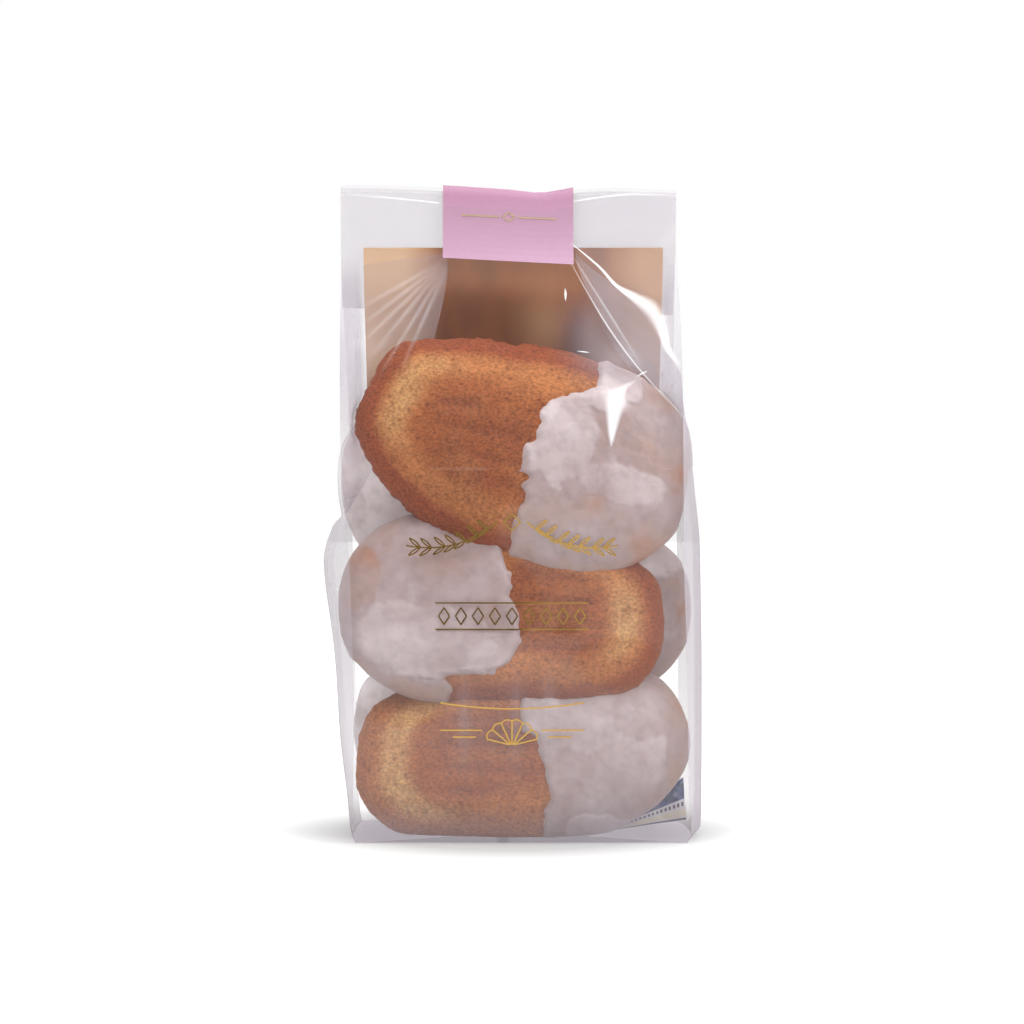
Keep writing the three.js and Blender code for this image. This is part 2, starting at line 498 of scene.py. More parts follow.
@dataclass(frozen=True)
class SugarIcing:
    """Poured water icing, set to a cloudy skin: white where it is thick, peach where it runs thin."""

    thick: str = "#a99493"
    thin: str = "#aa8f87"
    bare: str = "#ad7b65"
    crest: str = "#bfaeaf"
    # The lightest tone, reached mostly on the back cakes, whose lighter icing is painted light.
    lump: str = "#f0e6e7"
    cloud_mm: float = 9.0
    skin_mm: float = 2.6

    def material(self) -> Material:
        """Builds the icing's material.

        Returns:
            The material, which reads the attribute "body" as how thick the icing lies.
        """
        material, add = new_material("set_sugar_icing")
        spot = add("TexCoord")
        cloud = add("TexNoise", {"Vector": spot, "Scale": per_metre(self.cloud_mm), "Detail": 4.0})
        body = add("Attribute", attribute_name="body")
        shifted = add("Math", {0: cloud, 1: 0.5, 2: body}, operation="MULTIPLY_ADD")
        scaled = add("MapRange", {0: shifted, 1: 0.07, 2: 1.67})
        tints = (self.bare, self.thin, self.thick, self.crest, self.lump)
        poured = add("ValToRGB", {"Fac": scaled}, stops=tuple(zip((0.07, 0.25, 0.39, 0.62, 1.0), tints)))
        fine = {"Vector": spot, "Scale": per_metre(self.skin_mm), "Detail": 5.0, "Roughness": 0.6}
        skin = add("TexNoise", fine)
        mottled = add("ValToRGB", {"Fac": skin}, stops=((0.36, 0.88), (0.54, 1.0)))
        colour = add("Mix", {0: 1.0, 6: poured, 7: mottled}, blend_type="MULTIPLY")
        bump = add("Bump", {"Height": skin, "Strength": 0.35, "Distance": 0.3 * MM})
        sugar = {
            "Base Color": colour, "Roughness": 0.42, "Specular IOR Level": 0.35, "Subsurface Weight": 0.3,
            "Subsurface Radius": (1.0, 0.75, 0.6), "Subsurface Scale": 1.5 * MM, "Normal": bump,
        }
        add("OutputMaterial", {"Surface": add("BsdfPrincipled", sugar)})
        return material


@dataclass(frozen=True)
class CopperBoard:
    """Foil-faced board, copper in tone, with faint rolling streaks and a painted sheen towards a bright tone.
    """

    dark: str = "#773b12"
    copper: str = "#a05822"
    # The tone that the painted sheen mixes in.
    bright: str = "#deb488"
    streak_mm: float = 12.0

    def material(self) -> Material:
        """Builds the board's material.

        Returns:
            The material, which reads the attribute "glow" as its painted sheen.
        """
        material, add = new_material("copper_foil_board")
        spot = add("Mapping", {"Vector": add("TexCoord"), "Scale": (1.0, 1.0, 0.25)})
        streak = add("TexNoise", {"Vector": spot, "Scale": per_metre(self.streak_mm), "Detail": 3.0})
        tone = add("ValToRGB", {"Fac": streak}, stops=((0.35, self.dark), (0.65, self.copper)))
        # Painted sheen: the attribute mixes the board towards the bright tone.
        glow = add("Attribute", attribute_name="glow")
        tone = add("Mix", {0: glow, 6: tone, 7: self.bright})
        foil = add("BsdfPrincipled", {"Base Color": tone, "Metallic": 0.4, "Roughness": 0.4})
        add("OutputMaterial", {"Surface": foil})
        return material


@dataclass(frozen=True)
class LabelPaper:
    """Coated label paper in a flat pink, with a soft sheen, a faint tooth and painted shade that darkens it
    towards the top.
    """

    foot: str = "#c49ab4"
    top: str = "#b3849e"
    tooth_mm: float = 0.8
    painted_shade_from: float = 138.0
    painted_shade_to: float = 157.0

    def material(self) -> Material:
        """Builds the paper's material, with its tooth drawn coarse enough to show.

        Returns:
            The material.
        """
        material, add = new_material("coated_label_paper")
        spot = add("TexCoord")
        tooth = add("TexNoise", {"Vector": spot, "Scale": per_metre(self.tooth_mm), "Detail": 3.0})
        height = add("SeparateXYZ", {0: spot}, 2)
        # Painted shade: the pink darkens from the foot tone to the top tone between these heights.
        fade = add("MapRange", {0: height, 1: self.painted_shade_from * MM, 2: self.painted_shade_to * MM})
        pink_with_painted_shade = add("Mix", {0: fade, 6: self.foot, 7: self.top})
        grain = add("ValToRGB", {"Fac": tooth}, stops=((0.3, 0.94), (0.7, 1.0)))
        tone = add("Mix", {0: 1.0, 6: pink_with_painted_shade, 7: grain}, blend_type="MULTIPLY")
        bump = add("Bump", {"Height": tooth, "Strength": 0.15, "Distance": 0.05 * MM})
        paper = add("BsdfPrincipled", {"Base Color": tone, "Roughness": 0.48, "Normal": bump})
        add("OutputMaterial", {"Surface": paper})
        return material


@dataclass(frozen=True)
class SachetFilm:
    """Printed packet paper with a plastic face: white, with a blue band, rows of small dark marks and a dark
    line of painted shadow along its bottom.
    """

    white: str = "#c9c3cb"
    blue: str = "#41507f"
    cream: str = "#cfc6b4"
    ink: str = "#3d3a4a"
    swirl_mm: float = 1.8
    dashes: float = 17.0

    def material(self) -> Material:
        """Builds the sachet's material.

        Returns:
            The material, which reads the attributes "length" and "height" as places on the sachet.
        """
        material, add = new_material("printed_sachet_paper")
        length, height = (add("Attribute", attribute_name=name) for name in ("length", "height"))
        run = add("Math", {0: length, 1: self.dashes}, operation="MULTIPLY")
        dash = add("Math", {0: run}, operation="FRACT")
        tints = (self.white, self.cream, self.white, self.blue, self.white)
        bands, in_blue, in_row, edge, inked = (
            add("ValToRGB", {"Fac": source}, stops=stops, interpolation="CONSTANT")
            for source, stops in (
                (height, tuple(zip((0.0, 0.08, 0.26, 0.5, 0.98), tints))),
                (height, ((0.0, 0.0), (0.5, 1.0), (0.97, 0.0))),
                (height, ((0.0, 1.0), (0.05, 0.0), (0.33, 1.0), (0.43, 0.0))),
                (height, ((0.0, 1.0), (0.05, 0.0))),
                (dash, ((0.0, 1.0), (0.55, 0.0))),
            )
        )
        spot = add("TexCoord")
        swirl = add("TexNoise", {"Vector": spot, "Scale": per_metre(self.swirl_mm), "Detail": 2.0})
        dark = add("ValToRGB", {"Fac": swirl}, stops=((0.42, 0.45), (0.58, 1.0)))
        washed = add("Mix", {0: 1.0, 6: bands, 7: dark}, blend_type="MULTIPLY")
        tone = add("Mix", {0: in_blue, 6: bands, 7: washed})
        # Along the bottom edge the ink runs unbroken: a dark line that is painted shadow under the sachet's
        # fold.
        drawn = add("Math", {0: inked, 1: edge}, operation="MAXIMUM")
        marks = add("Math", {0: drawn, 1: in_row}, operation="MULTIPLY")
        tone = add("Mix", {0: marks, 6: tone, 7: self.ink})
        add("OutputMaterial", {"Surface": add("BsdfPrincipled", {"Base Color": tone, "Roughness": 0.35})})
        return material


@dataclass(frozen=True)
class PaintedHighlightFilm:
    """A painted highlight on the film: white and glowing along its middle, and fading at both sides."""

    tone: tuple[float, ...] = (0.93, 0.93, 0.95, 1)
    glow: float = 0.25

    def material(self) -> Material:
        """Builds the crease's material.

        Returns:
            The material, which reads the attribute "white" as how much of it shows.
        """
        material, add = new_material("painted_highlight_film")
        # The glow makes the painted highlight shine, though it is no lamp.
        light = {"Emission Color": WHITE, "Emission Strength": self.glow}
        white = add("BsdfPrincipled", {"Base Color": self.tone, "Roughness": 0.3} | light)
        shown = add("Attribute", attribute_name="white")
        whole = add("MixShader", {0: shown, 1: add("BsdfTransparent", {"Color": WHITE}), 2: white})
        add("OutputMaterial", {"Surface": whole})
        return material


@dataclass(frozen=True)
class StampedFoil:
    """Hot-stamped gold foil: a bare metal gloss, so it goes from bright gold to dark brown.

    On paper it keeps the paper's tooth, which dulls it.
    """

    name: str = "hot_stamped_gold_foil"
    gold: str = "#c9a15a"
    roughness: float = 0.22

    def material(self) -> Material:
        """Builds the foil's material.

        Returns:
            The material.
        """
        material, add = new_material(self.name)
        foil = {"Base Color": self.gold, "Metallic": 1.0, "Roughness": self.roughness}
        add("OutputMaterial", {"Surface": add("BsdfPrincipled", foil)})
        return material


# ---- The bag's film ----


@dataclass(frozen=True)
class GussetFold:
    """How one side gusset is folded: tucks are measured in from the panels' edges."""

    side: Side
    middle_tuck: Profile
    wing_tuck: Profile
    wing_share: float


@dataclass
class FilmBag:
    """The clear film: one tube of two panels and two gussets, flattened and folded over at its top."""

    height: float = 157.4
    flap_length: float = 30.0
    top_half: float = 0.8
    layer_gap: float = 0.3
    hem: float = 0.65
    panel_steps: int = 84
    wing_steps: int = 32
    body_step: float = 1.0
    fold_turns: int = 10
    rise_begins: float = 128.0
    bottom_haze: float = 0.6
    # How strongly the flat bottom glows: painted light.
    bottom_painted_glow: float = 0.62
    clearance: float = 0.3
    front_crease: float = 89.0
    crease_ridge: float = 0.09
    foot: float = 0.2
    front: Array | None = None
    wiped: Marks = ((-25.5, 32, 10, 4.6, 0.35), (25, 43, 11, 6.5, 0.32))
    # Extra haze, each as middle, half width and height, and strength. The first is a broad cloud and the
    # three narrow upright ones are smears; the last three are painted sheen, a painted reflection and a
    # painted highlight.
    smears_and_painted_sheen: Marks = (
        (-7, 27, 13, 9, 0.05), (-11.3, 29, 1.3, 9, 0.13), (0.9, 29, 1.3, 9, 0.13), (8.7, 29, 1.3, 9, 0.13),
        (25, 9, 9, 8, 0.1), (19, 121, 6, 9, 0.2), (26, 114.5, 6, 4.5, 0.32),
    )
    panel_haze: Profile = Profile(
        (0, 0.09), (12, 0.08), (34, 0.06), (52, 0.042), (66, 0.034), (78, 0.026), (95, 0.025), (128, 0.03),
        (143, 0.06), (158, 0.07),
    )
    wing_haze: Profile = Profile(
        (0, 0.38), (8, 0.36), (60, 0.36), (96, 0.26), (118, 0.2), (132, 0.17), (146, 0.13), (158, 0.14)
    )
    front_left: Profile = Profile((0, -37.2), (3, -37.6), (32, -37.4), (60, -38.2), (95, -40.6), (158, -42))
    front_right: Profile = Profile(
        (0, 41.6), (3, 42.4), (15, 41.8), (44, 41.3), (67, 40.6), (112, 40.4), (158, 40.2)
    )
    back_left: Profile = Profile((0, -38), (3, -38.6), (60, -40.2), (95, -41), (158, -42))
    back_right: Profile = Profile((0, 41.6), (3, 42.2), (60, 42), (112, 40.8), (143, 40.2), (158, 40.2))
    left_depth: Profile = Profile(
        (0, 21.6), (3, 22.6), (20, 23.2), (84, 23), (100, 20), (121, 11), (140, 1.2), (148, 0.8)
    )
    right_depth: Profile = Profile(
        (0, 21.6), (3, 22.6), (20, 23.2), (100, 23), (113, 20), (128, 11.6), (143, 1.8), (150, 0.8)
    )
    front_bulge: Profile = Profile(
        (0, 1.4), (3, 2), (25, 3.1), (60, 2.8), (100, 3), (122, 2), (138, 0.3), (146, 0), (158, 0)
    )
    back_bulge: Profile = Profile(
        (0, 1.4), (3, 2), (60, 3.1), (100, 2.4), (122, 1), (138, 0.2), (146, 0), (158, 0)
    )
    top_rise: Profile = Profile(
        (-42, 1.3), (-28, 1), (-15, 0.4), (0, -0.6), (6.6, -1.3), (16, 0.1), (24, 0.5), (40, 0)
    )
    left_fold: GussetFold = GussetFold(
        Side.LEFT,
        Profile((0, -1), (26, -3.6), (46, -5), (66, -6.8), (75, -4), (79, 0), (89, 6.5), (105, 14),
                (121, 22.5), (140, 26.4), (158, 27)),
        Profile((0, -0.9), (26, -3.1), (46, -4), (66, -5), (75, -2.4), (79, 0.5), (89, 3.6), (105, 7.5),
                (121, 11.4), (140, 13.2), (158, 13.5)),
        0.5,
    )
    right_fold: GussetFold = GussetFold(
        Side.RIGHT,
        Profile((0, -2), (3, -3.4), (22, -4.4), (67, -4.7), (86, -3.6), (107, -1.2), (112, -0.9),
                (115, 0.8), (121.5, 4.0), (126, 5.0), (131, 9.9), (134, 15.2), (144, 25.4), (158, 25.5)),
        Profile((0, -1.7), (3, -3), (22, -3.7), (67, -4), (86, -2.6), (97, -0.8), (100.6, 0.3),
                (106.8, 5.4), (113.3, 10.9), (124.5, 18.3), (143, 24.9), (158, 25.0)),
        0.55,
    )

    def __post_init__(self) -> None:
        """Works out where the top folds over, and the heights and parts of the film's rings."""
        self.fold_axis = self.top_half + self.layer_gap / 2
        self.fold_start = self.height - self.fold_axis - self.top_half
        near_crease = self.front_crease + np.array([-0.35, 0.0, 0.35])
        steps = np.arange(self.body_step, self.fold_start, self.body_step)
        steps = steps[np.abs(steps - self.front_crease) > 0.5]
        self.heights = np.sort(np.concatenate([[0.0, 0.4], steps, near_crease]))
        panel, wing = self.panel_steps + 1, 2 * self.wing_steps + 1
        self.front_part, self.right_part = slice(0, panel), slice(panel, panel + wing)
        self.back_part = slice(panel + wing, 2 * panel + wing)
        self.left_part = slice(2 * panel + wing, 2 * (panel + wing))

    def edge_depth(self, share: Any, z: Any) -> Array:
        """Returns how far the panels' edges stand from the middle plane, blended across the width."""
        return self.left_depth(z) * (1 - share) + self.right_depth(z) * share

    def panel_depth(self, share: Any, z: Any, bulge: Profile) -> Array:
        """Returns how far a panel stands from the middle plane, at a share of its width."""
        return self.edge_depth(share, z) + bulge(z) * (1 - (2 * share - 1) ** 4)

    def rise(self, x: Any, z: Any) -> Array:
        """Returns how far the bag's wavy top stands above its mean."""
        return self.top_rise(x) * smooth_step(z, self.rise_begins, self.height)

    def back_skin(self, x: Array, height: Array) -> Array:
        """Works out the back panel's depth at real heights, with the top's rise taken off.

        Args:
            x: places along X.
            height: the height of each.

        Returns:
            The depth at each place.
        """
        z = height
        for _ in range(3):
            z = height - self.rise(x, z)
        left, right = self.back_left(z), self.back_right(z)
        return self.panel_depth((x - left) / (right - left), z, self.back_bulge)

    def wing(self, fold: GussetFold, z: float) -> Array:
        """Works out a gusset's outline at one height, from the front edge to the back edge.

        Args:
            fold: the gusset.
            z: the height.

        Returns:
            Points in X and Y, without the panels' own edge points.
        """
        right = fold.side is Side.RIGHT
        front = (self.front_right if right else self.front_left)(z)
        back = (self.back_right if right else self.back_left)(z)
        depth = self.edge_depth(1.0 if right else 0.0, z) - self.hem
        middle, knee, out = (front + back) / 2, fold.wing_share * depth, fold.side.value
        wing, tuck = middle - out * fold.wing_tuck(z), middle - out * fold.middle_tuck(z)
        marks = np.array([(front, -depth), (wing, -knee), (tuck, 0.0), (wing, knee), (back, depth)])
        share = np.linspace(0, 4, 2 * self.wing_steps + 1)
        steps = share - 0.14 * np.sin(2 * math.pi * share)
        line = np.stack([np.interp(steps, range(5), marks[:, k]) for k in (0, 1)], axis=1)
        for _ in range(2):
            line[1:-1] = (line[:-2] + 2 * line[1:-1] + line[2:]) / 4
        return line

    def ring(self, z: float) -> Array:
        """Works out the film's outline at one height, anticlockwise seen from above.

        Args:
            z: the height.

        Returns:
            Points in X and Y.
        """
        share = np.linspace(0, 1, self.panel_steps + 1)
        front_x = self.front_left(z) * (1 - share) + self.front_right(z) * share
        back_x = self.back_left(z) * (1 - share) + self.back_right(z) * share
        front = np.stack([front_x, -self.panel_depth(share, z, self.front_bulge)], axis=1)
        back = np.stack([back_x, self.panel_depth(share, z, self.back_bulge)], axis=1)
        right, left = self.wing(self.right_fold, z), self.wing(self.left_fold, z)
        return np.concatenate([front, right, back[::-1], left[::-1]])

    def rings(self) -> Array:
        """Works out every ring, up the body, over the fold and down the flap.

        Returns:
            An array of rings by points by three coordinates.
        """
        body = []
        for z in self.heights:
            flat = self.ring(z)
            body.append(np.column_stack([flat, z + self.rise(flat[:, 0], z)]))
        x, deep = self.ring(self.height).T
        lift = self.rise(x, self.height)
        arm = self.fold_axis - deep
        for i in range(1, self.fold_turns + 1):
            angle = math.pi * i / self.fold_turns
            up = self.fold_start + arm * math.sin(angle) + lift
            body.append(np.column_stack([x, self.fold_axis - arm * math.cos(angle), up]))
        foot = self.height - self.flap_length
        for z in np.arange(self.fold_start - self.body_step, foot, -self.body_step):
            y = 2 * self.fold_axis - deep + self.back_skin(x, z + lift) - self.top_half
            body.append(np.column_stack([x, y, z + lift]))
        return np.array(body)

    def drape(self, rings: Array, contents: Sequence[Piece]) -> None:
        """Draws the film taut over what the bag holds.

        Args:
            rings: the film's rings, which are changed in place.
            contents: the pieces that press on it.
        """
        trees = [BVHTree.FromObject(piece, bpy.context.evaluated_depsgraph_get()) for piece in contents]
        share = np.linspace(0, 1, self.panel_steps + 1)
        for part, way in ((self.front_part, -1.0), (self.back_part, 1.0)):
            patch = rings[: len(self.heights), part]
            wall = self.obstacle(patch, 1, way, trees)
            flat = np.array([self.edge_depth(share if way < 0 else 1 - share, z) for z in self.heights])
            if way > 0:
                bulge = np.outer(self.back_bulge(self.heights), 1 - (2 * share - 1) ** 4)
                wall = np.maximum(wall, flat + bulge)
            taut = self.relax(flat, wall)
            taut += self.slack(patch, taut - wall)
            if way < 0:
                taut[np.argmin(np.abs(self.heights - self.front_crease)), 3:-3] += self.crease_ridge
            patch[:, :, 1] = way * taut
        self.clear_gussets(rings, trees)

    def obstacle(self, patch: Array, axis: int, way: float, trees: Sequence[BVHTree]) -> Array:
        """Measures how far the contents stand out behind each point of a patch.

        Args:
            patch: the patch's points.
            axis: 0 to measure along X, 1 to measure along Y.
            way: -1 to look from the low end of the axis and 1 from the high one.
            trees: the contents, ready for rays.

        Returns:
            The least reach that the film may have at each point, or a low number where nothing is.
        """
        far = 60.0
        wall = np.full(patch.shape[:2], -far)
        aim = Vector((-way * (axis == 0), -way * (axis == 1), 0))
        for place in np.ndindex(*patch.shape[:2]):
            start = Vector(patch[place]) * MM
            start[axis] = way * far * MM
            for tree in trees:
                hit = tree.ray_cast(start, aim)[0]
                if hit is not None:
                    wall[place] = max(wall[place], way * hit[axis] / MM + self.clearance)
        return wall

    def clear_gussets(self, rings: Array, trees: Sequence[BVHTree]) -> None:
        """Pushes the gussets out where the contents press on them.

        Args:
            rings: the film's rings, which are changed in place.
            trees: the contents, ready for rays.
        """
        for part, way in ((self.right_part, 1.0), (self.left_part, -1.0)):
            patch = rings[: len(self.heights), part]
            needed = np.maximum(self.obstacle(patch, 0, way, trees) - way * patch[..., 0], 0)
            needed = (needed + 0.5 * (needed > 0)) * (1 - smooth_step(patch[..., 2], 114, 120))
            push = needed.copy()
            for _ in range(24):
                wide = np.pad(push, 1, mode="edge")
                around = wide[:-2, 1:-1] + wide[2:, 1:-1] + wide[1:-1, :-2] + wide[1:-1, 2:]
                push = np.maximum(0.24 * around, needed)
            patch[..., 0] += way * push

    @staticmethod
    def relax(flat: Array, wall: Array) -> Array:
        """Shrinks a panel on to its contents, as film drawn tight from its edges.

        Args:
            flat: the depth of the undisturbed panel.
            wall: the least depth at each point.

        Returns:
            The panel's depth once it is taut.
        """
        along, across, rounds = 1.6, 1.0, 900
        depth = np.maximum(flat, wall)
        for _ in range(rounds):
            inner = along * (depth[:-2, 1:-1] + depth[2:, 1:-1])
            inner = inner + across * (depth[1:-1, :-2] + depth[1:-1, 2:])
            depth[1:-1, 1:-1] = np.maximum(inner / (2 * (along + across)), wall[1:-1, 1:-1])
        return depth

    @staticmethod
    def slack(patch: Array, clear: Array) -> Array:
        """Adds soft upright ripples where the film touches nothing.

        Args:
            patch: the panel's points.
            clear: how far the film stands off its contents.

        Returns:
            The extra depth at each point.
        """
        ripple = rough(patch.reshape(-1, 3) * np.array([1.0, 1.0, 0.28]), 9.0, 2, 3.0).reshape(clear.shape)
        edge = np.sin(np.linspace(0, math.pi, clear.shape[1])) ** 0.5
        return ripple * (0.05 + 0.14 * smooth_step(clear, 0.3, 4.0)) * edge

    def pleat(self, rings: Array) -> None:
        """Presses the fine fans of creases into the gussets below the folded top.

        Args:
            rings: the film's rings, which are changed in place.
        """
        for part, (x, z), creases, height in (
            (self.left_part, (-14.5, 140.5), (31, 40, 47, 53, 60, 67), 0.16),
            (self.right_part, (15.4, 144.0), (52, 57, 62), 0.12),
        ):
            wing = rings[: len(self.heights), part]
            reach = np.hypot(wing[..., 0] - x, z - wing[..., 2])
            turn = np.degrees(np.arctan2(z - wing[..., 2], np.abs(wing[..., 0] - x)))
            ridge = sum(hump(turn, crease, 2.2) * (-1) ** k for k, crease in enumerate(creases))
            fade = smooth_step(reach, 3, 12) * (1 - smooth_step(reach, 38, 62))
            edge = np.sin(np.linspace(0, math.pi, wing.shape[1])) ** 0.5
            wing[..., 1] += height * ridge * fade * edge * (wing[..., 2] < z)

    def haze(self, rings: Array) -> Array:
        """Works out how cloudy the film is: wiped clear in places and smeared in others, with painted sheen,
        a painted reflection and a painted highlight laid on as extra haze.

        Args:
            rings: the film's finished rings.

        Returns:
            The share of light that the film stops at each point.
        """
        x, y, z = (rings[..., k] for k in range(3))
        wiped = [smooth_step(blob(x, z, *mark), low, 0.5) for *mark, low in self.wiped]
        # Painted sheen and highlight: some of these spots lighten the film as extra haze.
        smear_and_sheen = blobs(x, z, self.smears_and_painted_sheen) + 0.15 * hump(z, 3, 5)
        cloud = self.panel_haze(z) * (1 - 0.95 * np.maximum(*wiped)) + smear_and_sheen * (y < 0)
        edge = smooth_step(np.abs(x), 36.6, 38.5)
        outer = 0.13 * edge * smooth_step(z, 84, 100) * (1 - smooth_step(z, 128, 142))
        outer += 0.28 * edge * hump(z, 116, 12) * (x < 0)
        lighter = (x < 0) * (0.22 + 0.48 * hump(z, 93, 9))
        return np.where(self.on_wings(rings), self.wing_haze(z) * (1 - lighter), cloud) + outer

    def on_wings(self, rings: Array) -> Array:
        """Tells which points lie on the gussets.

        Args:
            rings: the film's rings.

        Returns:
            True for each point that does.
        """
        wings = np.zeros(rings.shape[:2], bool)
        wings[:, self.right_part] = wings[:, self.left_part] = True
        return wings

    def gloss(self, rings: Array) -> Array:
        """Works out how far the film keeps its polish: less in the folded gussets and the pressed top."""
        pressed = 0.95 * smooth_step(rings[..., 2], 98, 122)
        return 1 - np.maximum(0.92 * self.on_wings(rings), pressed)

    def build(self, contents: Sequence[Piece]) -> Piece:
        """Builds the film over what the bag holds.

        Args:
            contents: the pieces that press on the film.

        Returns:
            The film.
        """
        rings = self.rings()
        self.drape(rings, contents)
        self.pleat(rings)
        count = rings.shape[1]
        film, column, row = lattice("film_bag", count, len(rings) - 1)
        move_to(film, rings[row, column % count])
        paint(film, "haze", self.haze(rings)[row, column % count])
        paint(film, "gloss", self.gloss(rings)[row, column % count])
        self.close_bottom(film)
        self.cloud_bottom(film)
        soften(film, 34)
        self.front = rings[: len(self.heights), self.front_part]
        return film

    def cloud_bottom(self, film: Piece) -> None:
        """Makes the flat bottom cloudier, because it is two milky layers folded together, and gives it a
        painted glow.

        Args:
            film: the film.
        """
        low = places(film)[:, 2] / MM < self.foot
        layer = film.data.attributes["haze"].data
        for vertex in np.flatnonzero(low):
            layer[int(vertex)].value = self.bottom_haze
        # Painted light: the flat bottom glows, though it is no lamp.
        paint(film, "painted_glow", self.bottom_painted_glow * low)

    def front_depth(self, x: Array, z: Array) -> Array:
        """Reads how deep the finished front panel lies.

        Args:
            x: places across it.
            z: the height of each.

        Returns:
            Its Y at each place.
        """
        rows = self.front[:, 0, 2]
        r = np.clip(np.searchsorted(rows, z) - 1, 0, len(rows) - 2)
        share = np.clip((z - rows[r]) / (rows[r + 1] - rows[r]), 0, 1)
        low, high = (
            np.array([np.interp(at, self.front[k, :, 0], self.front[k, :, 1]) for at, k in zip(x, level)])
            for level in (r, r + 1)
        )
        return low * (1 - share) + high * share

    def close_bottom(self, film: Piece) -> None:
        """Joins the tube's seam and fills its foot with the bag's flat bottom.

        Args:
            film: the film.
        """
        choose(film)
        bpy.ops.object.mode_set(mode="EDIT")
        bpy.ops.mesh.select_all(action="SELECT")
        bpy.ops.mesh.remove_doubles(threshold=0.02 * MM)
        bpy.ops.mesh.select_all(action="DESELECT")
        mesh = bmesh.from_edit_mesh(film.data)
        for edge in mesh.edges:
            edge.select = edge.is_boundary and all(vert.co.z < self.foot * MM for vert in edge.verts)
        mesh.select_flush(True)
        bmesh.update_edit_mesh(film.data)
        for shrink in (0.93, 0.7, 0.6):
            bpy.ops.mesh.extrude_edges_move()
            bpy.ops.transform.resize(value=(shrink, shrink, 1.0))
        bpy.ops.mesh.edge_face_add()
        bpy.ops.mesh.select_all(action="SELECT")
        bpy.ops.mesh.normals_make_consistent(inside=False)
        bpy.ops.object.mode_set(mode="OBJECT")


# ---- The cakes ----


